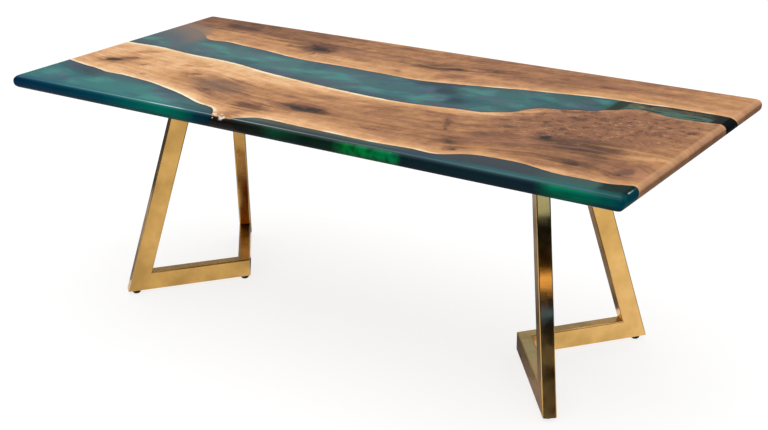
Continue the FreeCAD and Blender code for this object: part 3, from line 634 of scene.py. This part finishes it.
rear_board = {
    "guides": (
        ((-1.07, 0.29), (-0.8, 0.20), (-0.5, 0.17), (-0.2, 0.14), (0.0, 0.13), (0.15, 0.16), (0.35, 0.21),
         (0.6, 0.245), (0.85, 0.257), (1.07, 0.25)),
        ((-1.07, 0.50), (-0.4, 0.49), (0.0, 0.48), (0.3, 0.50), (0.6, 0.52), (1.07, 0.53)),
    ),
    "grain_width": 0.30,
    "pale": (
        (-1.07, 0.56), (-0.7, 0.60), (-0.5, 0.62), (-0.3, 0.69), (0.0, 0.70), (0.2, 0.61), (0.5, 0.62),
        (1.07, 0.66)),
    "heart": (
        ((-1.07, 0.30), (-0.7, 0.33), (-0.5, 0.285), (-0.3, 0.24), (-0.1, 0.235), (0.1, 0.255), (0.3, 0.27),
         (0.5, 0.295), (0.7, 0.325), (0.9, 0.33), (1.07, 0.33)),
        ((-1.07, 0.60), (0.0, 0.61), (1.07, 0.60)),
        ((-1.07, 0.22), (-0.8, 0.30), (-0.3, 0.26), (0.0, 0.24), (0.3, 0.22), (0.6, 0.22), (0.8, 0.13),
         (1.07, 0.06)),
    ),
    "heart_edge": 0.035,
    "sapwood": (
        (RIVER_FAR_EDGE, -1, 0.013, 0.045, 0.3,
         ((-1.07, 0.0), (-0.84, 0.0), (-0.79, 0.7), (-0.3, 0.8), (-0.05, 0.4), (0.1, 0.4), (0.25, 0.8),
          (0.6, 0.9), (1.07, 0.8))),
    ),
    "knots": (
        (-0.391, 0.273, 0.066, 0.042, 20, 0.9), (-0.425, 0.302, 0.050, 0.020, 130, 0.5),
        (-0.380, 0.235, 0.008, 0.060, 0, 0.4), (0.127, 0.300, 0.030, 0.018, 0, 0.5),
        (0.240, 0.331, 0.024, 0.012, 0, 0.5), (-0.031, 0.187, 0.022, 0.014, 0, 0.5),
        (-0.510, 0.265, 0.024, 0.014, 0, 0.3),
    ),
    "stains": (
        (0.066, 0.282, 0.210, 0.060, 8, -0.34), (0.150, 0.215, 0.160, 0.060, 22, -0.20),
        (-0.800, 0.387, 0.180, 0.100, 10, -0.14), (-0.400, 0.300, 0.240, 0.090, 0, -0.10),
        (0.240, 0.331, 0.140, 0.024, 5, -0.14), (-0.940, 0.330, 0.180, 0.070, -20, -0.10),
    ),
    "sunk": (
        RIVER_FAR_EDGE, -1,
        ((-1.07, 0.06), (-1.0, 0.05), (-0.93, 0.04), (-0.88, 0.025), (-0.84, -0.01), (-0.79, -0.07),
         (1.07, -0.07))),
}
for slab, node, board_look in ((front_slab, "front_slab", front_board), (rear_slab, "rear_slab", rear_board)):
    shade_rounds(slab)
    dress(slab, walnut(f"{slab.name}_finish", board_look))
    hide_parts(node)
    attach(slab, "table")

# Resin castings
# Tinted epoxy, poured round the slabs in a mould and planed and polished flush with them, so each casting
# has the slabs' live edges in its sides: the river between them, and two along the front.
poured = own_copy(whole_top, "resin")
cut(poured, front_cut, "DIFFERENCE")
cut(poured, rear_cut, "DIFFERENCE")
select_only(poured)
bpy.ops.object.mode_set(mode="EDIT")
bpy.ops.mesh.select_all(action="SELECT")
bpy.ops.mesh.separate(type="LOOSE")
bpy.ops.object.mode_set(mode="OBJECT")
castings = list(bpy.context.selected_objects)
for used in (whole_top, front_cut, rear_cut):
    bpy.data.objects.remove(used)


def middle_of(piece, axis):
    """The mean place of a piece's corners along an axis."""
    return np.mean([vertex.co[axis] for vertex in piece.data.vertices])


castings.sort(key=lambda piece: middle_of(piece, 1))
castings[:2] = sorted(castings[:2], key=lambda piece: middle_of(piece, 0))
RIVER_COLOURS = (
    (-1.03, (75, 95, 100)), (-0.50, (75, 118, 118)), (0.15, (64, 102, 106)), (0.45, (60, 106, 106)),
    (0.685, (38, 92, 88)), (0.695, (24, 46, 32)), (0.728, (30, 50, 36)), (0.74, (84, 90, 70)),
    (0.975, (62, 64, 50)), (0.99, (12, 13, 13)), (1.03, (2, 4, 8)),
)
FRONT_COLOURS = (
    (-1.03, (40, 114, 116)), (-0.45, (60, 125, 122)), (-0.22, (54, 86, 90)), (-0.13, (86, 86, 76)),
    (0.20, (78, 88, 80)), (0.30, (88, 116, 94)), (0.44, (60, 70, 75)), (0.76, (60, 70, 75)),
    (0.84, (60, 92, 86)), (0.94, (60, 96, 90)), (0.958, (12, 45, 40)), (1.03, (5, 37, 33)),
)
# Colours of the front rim along x: the resin's own tint, with a painted glow of light passing through it.
RIM_COLOURS = (
    (-1.03, (5, 50, 80)), (-0.65, (0, 68, 85)), (-0.40, (0, 112, 96)), (-0.33, (0, 98, 82)),
    (-0.28, (2, 54, 70)), (-0.225, (8, 38, 50)), (-0.20, (26, 18, 14)), (-0.05, (24, 34, 26)),
    (0.0, (16, 72, 48)), (0.10, (10, 36, 24)), (0.20, (14, 44, 30)), (0.25, (0, 132, 58)),
    (0.39, (0, 130, 74)), (0.412, (16, 40, 44)), (0.80, (20, 42, 54)), (0.85, (0, 124, 88)),
    (0.93, (0, 112, 88)), (1.03, (0, 66, 78)),
)
BORDER_COLOURS = (
    (-1.03, (22, 88, 112)), (-0.40, (48, 125, 122)), (-0.25, (30, 70, 84)), (-0.10, (40, 52, 58)),
    (0.20, (36, 56, 66)), (0.42, (36, 70, 88)), (0.70, (42, 106, 112)), (0.93, (22, 104, 104)),
    (1.03, (2, 84, 86)),
)
RESIN_PALE = (76, 146, 138)
RESIN_DEEP = (38, 86, 106)
RESIN_GREY = (88, 90, 116)
RESIN_SHADE = (28, 54, 66)
BESIDE_WOOD = (68, 76, 88)
# A painted shadow: the dark line in the resin right along a live edge.
EDGE_SHADOW_LINE = (44, 44, 46)
FLAKES_GREEN = (74, 112, 100)
FLAKES_PALE = (142, 130, 92)
FLAKES_DARK = (28, 32, 24)
FLAKES_BESIDE_WOOD = (34, 36, 24)
RIM_FOOT_SHADE = (22, 26, 40)
RIM_MOTTLE = (2, 34, 26)
RIM_STREAKS = (10, 24, 40)
# Painted highlights: a pale line along the top of the front rim and along the ends' rims, with its strength
# along x.
GLINT = (214, 232, 232)
GLINT_STRENGTH = (
    (-1.07, 0.0), (-0.70, 0.12), (-0.47, 0.35), (-0.43, 0.8), (-0.35, 0.8), (-0.31, 0.25), (-0.15, 0.4),
    (0.05, 0.25), (0.20, 0.1), (1.07, 0.04),
)


def bark_flakes(colour, x, y, depth, where):
    """A colour with streaks and flakes of bark that were poured in with the resin beside a live edge."""
    start, end, edge, width = where
    across = inside(x, y, depth, edge, -1) / width
    bark = streaks(x * 13, y * 50, depth * 20, 4)
    flakes = streaks(x * 26 + 3, y * 26, depth * 20, 3)
    here = x.fade(start - 0.01, start + 0.01) * x.fade(end + 0.01, end - 0.01)
    colour = colour.tint(FLAKES_GREEN, (across + (flakes - 0.5) * 0.8).fade(-0.45, -0.75) * here * 0.75)
    colour = colour.tint(FLAKES_PALE, flakes.fade(0.54, 0.62) * across.fade(-0.75, -0.3) * here * 0.7)
    colour = colour.tint(FLAKES_DARK, bark.fade(0.49, 0.38) * here * 0.85)
    return colour.tint(FLAKES_BESIDE_WOOD, (across + (flakes - 0.5) * 0.6).fade(-0.22, -0.06) * here * 0.75)


def front_rim(colour, place, drift):
    """A colour with what the front rim shows: deep colours with painted glow and shade, and painted highlight
    lines.
    """
    x, y, z = place.parts()
    depth = top_face - z
    front = table_low.y + RIM_RADIUS
    near_rim = (y + drift * 0.02).fade(front + 0.024, front)
    colour = colour.tint((x + drift * 0.08).colours(BORDER_COLOURS), near_rim * 0.75)
    ragged = (streaks(x * 40, y * 20, depth * 20, 3) - 0.5) * 0.03
    blocks = (x + ragged).colours(RIM_COLOURS)
    # Painted shade: the rim darker towards its foot.
    blocks = blocks.tint(RIM_FOOT_SHADE, depth.fade(0.018, 0.038) * 0.6)
    green_patch = x.fade(0.20, 0.24) * x.fade(0.44, 0.40)
    mottled = streaks(x * 36, y * 10, depth * 30, 2).fade(0.42, 0.66) * green_patch
    blocks = blocks.tint(RIM_MOTTLE, mottled * 0.6)
    blocks = blocks.tint(RIM_STREAKS, streaks(x * 5, y * 10, depth * 40, 3).fade(0.5, 0.7) * 0.5)
    over = y.fade(front, front - RIM_RADIUS * 0.3)
    colour = colour.tint(blocks, over * depth.fade(0.0012, 0.005))
    # A painted highlight line along the top of the rim's rounding.
    line = depth.fade(0.0004, 0.0010) * depth.fade(0.0022, 0.0014) * over
    colour = colour.tint(GLINT, line * x.along(GLINT_STRENGTH))
    # A broken painted highlight line along the rims of the rolled ends.
    end_line = depth.fade(0.0022, 0.0032) * depth.fade(0.0052, 0.0042) * rolled_ends(x)
    broken = y.fade(-0.375, -0.445) * y.fade(-0.466, -0.458) * clouds(place, 110, 0).fade(0.36, 0.56)
    return colour.tint(GLINT, end_line * broken * 0.75)


def resin(name, look):
    """Tinted epoxy: clouds of colour deep in it, darker beside the wood with a painted shadow line, and deep
    rims.
    """
    finish, shader, place = new_finish(
        name, {"Roughness": 0.12, "Specular IOR Level": 0.02, "Coat Roughness": 0.05})
    x, y, z = place.parts()
    depth = top_face - z
    drift = streaks(x * 2.2, y * 7, depth * 6, 3) - 0.5
    colour = (x + drift * 0.09).colours(look["colours"])
    wisps = streaks(x * 7, y * 13, depth * 10, 4)
    murk = streaks(x * 7 + 4, y * 11, depth * 10, 4)
    depths = streaks(x * 5 + 9, y * 9, depth * 10, 4)
    calm = x.fade(*look["calm"])
    colour = colour.tint(RESIN_PALE, wisps.fade(0.45, 0.66) * calm * 0.7)
    colour = colour.tint(RESIN_DEEP, depths.fade(0.50, 0.34) * calm * 0.6)
    colour = colour.tint(RESIN_GREY, murk.fade(0.49, 0.66) * calm * 0.6)
    for spot in look["shades"]:
        away = spot_distance(place, spot) + (wisps - 0.5) * 1.5 + (murk - 0.5) * 1.5
        colour = colour.tint(RESIN_SHADE, away.fade(1.2, 0.2) * 0.75)
    if "flakes" in look:
        colour = bark_flakes(colour, x, y, depth, look["flakes"])
    for edge, outward, strength in look["sides"]:
        away = inside(x, y, depth, edge, outward) * outward
        beside = x.along(strength)
        colour = colour.tint(BESIDE_WOOD, (away + drift * 0.07).fade(0.07, 0.005) * beside * 0.6)
        # Painted shadow: a dark line in the resin right along the live edge.
        colour = colour.tint(EDGE_SHADOW_LINE, away.fade(0.008, 0.002) * beside * 0.7)
    if "sunk" in look:
        edge, outward, start, end, reach = look["sunk"]
        veiled = inside(x, y, depth, edge, outward) * outward + drift * 0.06
        sinking = (x + drift * 0.1).fade(start, end)
        colour = colour.tint(SUNK_WOOD, veiled.fade(reach, reach * 0.4) * sinking * 0.9)
        colour = colour.tint(SUNK_BROWN, veiled.fade(reach * 0.55, reach * 0.1) * sinking * 0.85)
    colour = colour.tint(look["end"], rolled_ends(x) * depth.fade(0.001, 0.006) * 0.95)
    if look["at_front"]:
        colour = front_rim(colour, place, drift)
    colour.feed(shader, "Base Color")
    (depth.fade(0.009, 0.004) * 0.14).feed(shader, "Coat Weight")
    return finish


# The two kinds of casting, in metres. Calm is where the clouds fade out and come in, and end is the colour of
# the rolled ends. Shades are dark ovals: x, y, length, width and turn in degrees. Sides are live edges with
# their shade's strength along x. Flakes and sunk say where bark was poured in, and where wood sinks into the
# resin.
river_look = {
    "colours": RIVER_COLOURS,
    "calm": (0.70, 0.66),
    "end": (10, 18, 24),
    "shades": (
        (0.215, 0.075, 0.110, 0.110, 20), (0.285, 0.000, 0.080, 0.090, 20), (0.170, 0.125, 0.200, 0.050, 15),
    ),
    "sides": (
        (RIVER_NEAR_EDGE, 1, ((-1.07, 0.8), (0.5, 0.7), (0.68, 0.3), (0.70, 0.0), (1.07, 0.0))),
        (RIVER_FAR_EDGE, -1,
         ((-1.07, 0.0), (-0.83, 0.0), (-0.77, 0.9), (0.6, 0.6), (0.70, 0.0), (1.07, 0.0))),
    ),
    "flakes": (0.735, 0.985, RIVER_FAR_EDGE, 0.07),
    "sunk": (RIVER_FAR_EDGE, -1, -0.78, -0.86, 0.19),
    "at_front": False,
}
front_look = {
    "colours": FRONT_COLOURS,
    "calm": (0.0, -0.2),
    "end": (2, 66, 78),
    "shades": ((-0.860, -0.310, 0.240, 0.090, -15),),
    "sides": (
        (FRONT_EDGE, -1,
         ((-1.07, 1.0), (-0.3, 0.9), (-0.1, 0.4), (0.8, 0.4), (0.93, 0.4), (0.95, 0.0), (1.07, 0.0))),
    ),
    "at_front": True,
}
looks = (("front_left_resin", front_look), ("front_right_resin", front_look), ("river_resin", river_look))
for piece, (node, look) in zip(castings, looks):
    piece.name = piece.data.name = f"{node}_casting"
    shade_rounds(piece)
    dress(piece, resin(f"{node}_finish", look))
    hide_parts(node)
    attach(piece, "table")

# Leg frames
# Two folded frames of rectangular steel tube, mitred and welded, ground flush at the joints, then polished
# and plated the yellow of brass. Each is two base bars that meet at an apex and two uprights.
BRASS_TONES = ((0.3, (180, 140, 78)), (0.5, (208, 164, 94)), (0.7, (232, 186, 116)))


def plated():
    """Polished plating with the slow waves and faint clouds that hand polishing leaves, and a painted shade.
    """
    finish, shader, place = new_finish("polished_plating", {"Metallic": 1})
    haze = clouds(place, 9, 4)
    wear = clouds(place, 55, 3)
    # Painted shade: the plating runs darker towards the left leg and lighter towards the right.
    (haze + place.parts()[0] * 0.12).colours(BRASS_TONES).feed(shader, "Base Color")
    (0.10 + haze.fade(0.35, 0.7) * 0.12 + wear * 0.05).feed(shader, "Roughness")
    roughened(clouds(place, 7, 2) * 0.0012, shader)
    return finish


def finish_node(node, finish):
    """Give a CAD node one finish in all its material slots."""
    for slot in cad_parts[node].material_slots:
        slot.material = finish


plating = plated()
for side in ("left", "right"):
    for foot in ("front", "rear"):
        finish_node(f"{side}_{foot}_base_bar", plating)
        finish_node(f"{side}_{foot}_upright", plating)

# Leg plates
# Flat steel plates, one across the top of each leg, with rounded corners and four clearance holes. They are
# welded to the uprights' tops, powder coated black and bolted up to the walnut.


def powder_coat():
    """Black powder coat with its fine orange peel."""
    finish, shader, place = new_finish("black_powder_coat", {"Specular IOR Level": 0.45})
    peel = clouds(place, 420, 2)
    colour = clouds(place, 30, 3).colours(((0.3, (26, 26, 28)), (0.7, (38, 38, 40))))
    colour.feed(shader, "Base Color")
    (0.42 + peel * 0.16).feed(shader, "Roughness")
    roughened(peel * 0.00012, shader)
    return finish


coat = powder_coat()
for side in ("left", "right"):
    finish_node(f"{side}_top_plate", coat)

# Fixings
# Zinc plated steel: threaded inserts in the walnut, hexagon bolts with washers through the leg plates, and
# nuts pressed into the base bars for the feet. A bolt's head is a hexagon turned off at its outer corners.
BOLT_FLATS = 0.013
BOLT_HEAD = 0.0053
BOLT_DIAMETER = 0.008
HEAD_CHAMFER = 0.0011
TIP_CHAMFER = 0.001


def zinc():
    """Bright zinc plating, a little blotched."""
    finish, shader, place = new_finish("zinc_plating", {"Metallic": 1})
    blotch = clouds(place, 160, 4)
    blotch.colours(((0.3, (176, 178, 182)), (0.7, (206, 206, 202)))).feed(shader, "Base Color")
    (0.22 + blotch * 0.18).feed(shader, "Roughness")
    return finish


def upright_bar(sides, diameter, low, high):
    """A bar that stands on the Z axis between two heights."""
    bpy.ops.object.select_all(action="DESELECT")
    bpy.ops.mesh.primitive_cylinder_add(
        vertices=sides, radius=diameter / 2, depth=high - low, location=(0, 0, (low + high) / 2))
    settle()
    return bpy.context.object


def chamfer(piece, height, width):
    """Bevel the edges of a piece that lie at one height."""
    select_only(piece)
    mesh = piece.data
    bpy.ops.object.mode_set(mode="EDIT")
    bpy.ops.mesh.select_mode(type="EDGE")
    bpy.ops.mesh.select_all(action="DESELECT")
    bpy.ops.object.mode_set(mode="OBJECT")
    for edge in mesh.edges:
        edge.select = all(abs(mesh.vertices[index].co.z - height) < width / 10 for index in edge.vertices)
    bpy.ops.object.mode_set(mode="EDIT")
    bpy.ops.mesh.bevel(offset=width, segments=1, affect="EDGES")
    bpy.ops.object.mode_set(mode="OBJECT")


def hexagon(flats, low, high):
    """A hexagon bar whose corners are turned off at both ends."""
    corners = flats / math.cos(math.radians(30))
    bar = upright_bar(6, corners, low, high)
    blank = upright_bar(64, corners, low, high)
    for height in (low, high):
        chamfer(blank, height, HEAD_CHAMFER)
    cut(bar, blank, "INTERSECT")
    bpy.data.objects.remove(blank)
    return bar


def add_on(piece, other):
    """Make two pieces that run into each other one."""
    cut(piece, other, "UNION")
    bpy.data.objects.remove(other)


def set_at(piece, name, x, y):
    """A copy of a piece that was made on the Z axis, at its place."""
    copy = own_copy(piece, name)
    select_only(copy)
    bpy.ops.transform.translate(value=(x, y, 0))
    settle()
    return copy


zinc_finish = zinc()
for node in ("threaded_inserts", "plate_washers", "foot_nuts"):
    finish_node(node, zinc_finish)
bolt_low, bolt_high = (corner.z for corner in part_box("plate_bolts"))
bolt = hexagon(BOLT_FLATS, bolt_low, bolt_low + BOLT_HEAD)
shank = upright_bar(48, BOLT_DIAMETER, bolt_low + BOLT_HEAD / 2, bolt_high)
chamfer(shank, bolt_high, TIP_CHAMFER)
add_on(bolt, shank)
shade_rounds(bolt)
dress(bolt, zinc_finish)
for number, (x, y) in enumerate(insert_places(), start=1):
    piece = set_at(bolt, f"plate_bolt_{number}", x, y)
    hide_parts("plate_bolts")
    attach(piece, "table")
bpy.data.objects.remove(bolt)

# Levelling feet
# Black nylon pads that turn on the balls of threaded studs, six under the corners of the base bars. A stud
# is turned with its ball, its neck and a hexagon collar for a spanner, and screws up into a pressed nut.
BALL_DIAMETER = 0.0064
NECK_DIAMETER = 0.0044
COLLAR_LOW = 0.009
COLLAR_HIGH = 0.0108
COLLAR_FLATS = 0.013
THREAD_DIAMETER = 0.008
THREAD_ROOT = 0.0066
THREAD_PITCH = 0.00125


def nylon():
    """Moulded black nylon with a fine matt texture."""
    finish, shader, place = new_finish("black_nylon", {"Specular IOR Level": 0.4})
    grit = clouds(place, 900, 2)
    clouds(place, 60, 3).colours(((0.3, (20, 20, 21)), (0.7, (32, 32, 33)))).feed(shader, "Base Color")
    (0.45 + grit * 0.2).feed(shader, "Roughness")
    roughened(grit * 0.00008, shader)
    return finish


def thread(low, high):
    """A thread's ridge, wound up the Z axis from one height to about another."""
    bpy.ops.object.select_all(action="DESELECT")
    bpy.ops.mesh.primitive_circle_add(vertices=3, fill_type="NOTHING")
    ridge = bpy.context.object
    profile = ((THREAD_ROOT, 0), (THREAD_DIAMETER, THREAD_PITCH / 2), (THREAD_ROOT, THREAD_PITCH))
    for vertex, (diameter, rise) in zip(ridge.data.vertices, profile):
        vertex.co = (diameter / 2, 0, low + rise)
    winding = ridge.modifiers.new("winding", "SCREW")
    winding.screw_offset = THREAD_PITCH
    winding.iterations = int((high - low) / THREAD_PITCH) - 1
    winding.steps = winding.render_steps = 24
    bpy.ops.object.modifier_apply(modifier=winding.name)
    bpy.ops.object.mode_set(mode="EDIT")
    bpy.ops.mesh.select_mode(type="EDGE")
    bpy.ops.mesh.select_all(action="SELECT")
    bpy.ops.mesh.fill_holes(sides=3)
    bpy.ops.object.mode_set(mode="OBJECT")
    face_outwards(ridge)
    return ridge


def turned_stud(low, high):
    """A stud from the bottom of its ball to the tip of its thread."""
    middle = low + BALL_DIAMETER / 2
    bpy.ops.object.select_all(action="DESELECT")
    bpy.ops.mesh.primitive_uv_sphere_add(
        segments=32, ring_count=16, radius=BALL_DIAMETER / 2, location=(0, 0, middle))
    settle()
    stud = bpy.context.object
    add_on(stud, upright_bar(32, NECK_DIAMETER, middle, (COLLAR_LOW + COLLAR_HIGH) / 2))
    add_on(stud, hexagon(COLLAR_FLATS, COLLAR_LOW, COLLAR_HIGH))
    core = upright_bar(32, THREAD_ROOT, (COLLAR_LOW + COLLAR_HIGH) / 2, high)
    chamfer(core, high, TIP_CHAMFER / 2)
    add_on(stud, core)
    shade_rounds(stud)
    ridge = thread(COLLAR_HIGH - THREAD_PITCH, high - TIP_CHAMFER)
    select_only(stud)
    ridge.select_set(True)
    bpy.ops.object.join()
    return stud


nylon_finish = nylon()
stud = turned_stud(*(corner.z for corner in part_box("left_front_foot_stud")))
dress(stud, zinc_finish)
for side in ("left", "right"):
    for foot in ("front", "rear", "apex"):
        finish_node(f"{side}_{foot}_foot_pad", nylon_finish)
        low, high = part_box(f"{side}_{foot}_foot_stud")
        piece = set_at(stud, f"{side}_{foot}_threaded_stud", (low.x + high.x) / 2, (low.y + high.y) / 2)
        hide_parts(f"{side}_{foot}_foot_stud")
        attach(piece, f"{side}_{foot}_stud")
bpy.data.objects.remove(stud)

# Stage
# A plain white floor that runs out to the background and keeps a faint shadow of the table. Grey cloth hangs
# round the studio, dark towards the camera, and lies round the table, and four small bright cards stand near
# the legs and before the cloth. Cloth and cards show only in reflections, as painted reflections: the dark
# cloth paints shade into the legs' reflections, and the cards glow, though no lamps, to paint bright bands on
# them.
FLOOR_SIZE = 60
SHADOW_SHARE = 0.32
FLOOR_GLOW = 1.18
WALL_RADIUS = 9
WALL_HEIGHT = 6.6
CLOTH_LIFT = 0.001
CARD_GLOW = 2


def seen_by_eye(tree):
    """All for what the camera sees, straight or in gloss or glass, and nothing for light on other things."""
    path = tree.nodes.new("ShaderNodeLightPath")
    camera_ray, glossy_ray, glass_ray = (
        Field(path.outputs[f"Is {kind} Ray"]) for kind in ("Camera", "Glossy", "Transmission"))
    return camera_ray.maths("MAXIMUM", glossy_ray).maths("MAXIMUM", glass_ray)


def white_floor():
    """White that keeps a share of the shadows that fall on it."""
    finish, shader = new_finish(
        "white_floor", {"Base Color": (0.9, 0.9, 0.9, 1), "Roughness": 1, "Specular IOR Level": 0})[:2]
    tree = finish.node_tree
    glow = tree.nodes.new("ShaderNodeEmission")
    glow.inputs["Color"].default_value = (1, 1, 1, 1)
    glow.inputs["Strength"].default_value = FLOOR_GLOW
    seen = seen_by_eye(tree)
    mixed = seen.node(
        "ShaderNodeMixShader", {},
        {0: seen * (1 - SHADOW_SHARE), 1: Field(shader.outputs[0]), 2: Field(glow.outputs[0])})
    mixed.feed(tree.nodes["Material Output"], "Surface")
    return finish


bpy.ops.object.select_all(action="DESELECT")
bpy.ops.mesh.primitive_plane_add(size=FLOOR_SIZE)
floor = bpy.context.object
floor.name = "floor"
floor.data.materials.append(white_floor())


def hang(sheet, name, finish):
    """Let a cloth or a card show only in reflections."""
    sheet.name = name
    sheet.data.materials.append(finish)
    for ray in ("camera", "diffuse", "transmission", "volume_scatter", "shadow"):
        setattr(sheet, f"visible_{ray}", False)


bpy.ops.object.select_all(action="DESELECT")
bpy.ops.mesh.primitive_cylinder_add(
    vertices=64, radius=WALL_RADIUS, depth=WALL_HEIGHT, end_fill_type="NOTHING",
    location=(0, 0, WALL_HEIGHT / 2))
wall_finish, wall_shader, wall_place = new_finish("wall_cloth", {"Roughness": 1, "Specular IOR Level": 0})
wall_x, wall_y = wall_place.parts()[:2]
(wall_y * 0.8 - wall_x * 0.6 + clouds(wall_place, 0.5, 2) * 4).colours(
    ((-4.0, (14, 14, 14)), (3.0, (84, 84, 84)), (10.0, (196, 196, 196)))).feed(wall_shader, "Base Color")
hang(bpy.context.object, "wall_cloth", wall_finish)


def grey_cloth(name, dark, pale):
    """Cloth of a mottled grey between two levels."""
    finish, shader, place = new_finish(name, {"Roughness": 1, "Specular IOR Level": 0})
    clouds(place, 2.5, 3).colours(((0.35, (dark,) * 3), (0.65, (pale,) * 3))).feed(shader, "Base Color")
    return finish


dark_cloth = grey_cloth("dark_cloth", 24, 110)
pale_cloth = grey_cloth("pale_cloth", 120, 215)
light_cloth = grey_cloth("light_cloth", 205, 245)
for number, (finish, left, right, near, far) in enumerate((
        (dark_cloth, -7, -2.2, -0.25, 7), (dark_cloth, -2.2, 7, 1.3, 7), (pale_cloth, -2.2, 7, 0.33, 1.3),
        (pale_cloth, -2.2, -0.92, -0.25, 0.33), (pale_cloth, -0.1, 0.6, -0.3, 0.33),
        (dark_cloth, -0.62, -0.42, 0.0, 0.18), (light_cloth, 0.6, 0.82, -0.45, -0.02))):
    bpy.ops.object.select_all(action="DESELECT")
    bpy.ops.mesh.primitive_plane_add(size=1, location=((left + right) / 2, (near + far) / 2, CLOTH_LIFT))
    bpy.ops.transform.resize(value=(right - left, far - near, 1))
    settle()
    hang(bpy.context.object, f"floor_cloth_{number}", finish)
WINDOW_LIGHT = (148, 176, 206)
# The cards glow but light nothing: painted reflections of bright and blue bands on the legs.
for card, light, middle, turn, width, height in (
        ("warm_card", (255, 214, 150), (0.936, -0.417, 0.4215), 49, 0.14, 0.030),
        ("blue_card", (62, 104, 184), (0.955, -0.437, 0.326), 49, 0.14, 0.020),
        ("post_card", WINDOW_LIGHT, (0.899, -0.373, 0.645), 49, 0.14, 0.080),
        ("bar_card", WINDOW_LIGHT, (-3.1, 7.05, 4.32), 24, 0.7, 0.44)):
    card_finish = new_finish(card, {
        "Base Color": (0, 0, 0, 1), "Specular IOR Level": 0, "Emission Color": linear(light),
        "Emission Strength": CARD_GLOW})[0]
    bpy.ops.object.select_all(action="DESELECT")
    bpy.ops.mesh.primitive_plane_add(
        size=1, location=middle, rotation=(math.radians(90), 0, math.radians(turn)))
    bpy.context.object.scale = (width, height, 1)
    settle()
    hang(bpy.context.object, card, card_finish)

# Light
# One broad soft lamp overhead, as a studio's light tent has, and the even light of a white room, which is
# seen as pure white behind the table.
LAMP_HEIGHT = 6.5
LAMP_SIZE = 9
LAMP_POWER = 345
ROOM_LIGHT = 0.45
bpy.ops.object.light_add(type="AREA", location=(0, 0, LAMP_HEIGHT))
lamp = bpy.context.object
lamp.data.shape = "SQUARE"
lamp.data.size = LAMP_SIZE
lamp.data.energy = LAMP_POWER
lamp.visible_camera = False
room = bpy.data.worlds.new("room")
bpy.context.scene.world = room
room.use_nodes = True
even = room.node_tree.nodes["Background"]
even.inputs["Color"].default_value = (1, 1, 1, 1)
even.inputs["Strength"].default_value = ROOM_LIGHT
white = room.node_tree.nodes.new("ShaderNodeBackground")
white.inputs["Color"].default_value = (1, 1, 1, 1)
white.inputs["Strength"].default_value = 1
seen = seen_by_eye(room.node_tree)
both = seen.node("ShaderNodeMixShader", {}, {0: seen, 1: Field(even.outputs[0]), 2: Field(white.outputs[0])})
both.feed(room.node_tree.nodes["World Output"], "Surface")

# Camera
# Where the photograph was taken from, above the right front corner of the table. It looks across the table to
# the far left corner, through a lens that is a little long.
CAMERA_PLACE = (2.212753, -3.190951, 1.863941)
CAMERA_TURN = (68.5365, 0.8267, 33.9373)
LENS_LENGTH = 63.272
bpy.ops.object.camera_add(
    location=CAMERA_PLACE, rotation=[math.radians(angle) for angle in CAMERA_TURN])
camera = bpy.context.object
camera.data.sensor_fit = "HORIZONTAL"
camera.data.sensor_width = 36
camera.data.lens = LENS_LENGTH
bpy.context.scene.camera = camera
bpy.context.scene.view_settings.view_transform = "Standard"
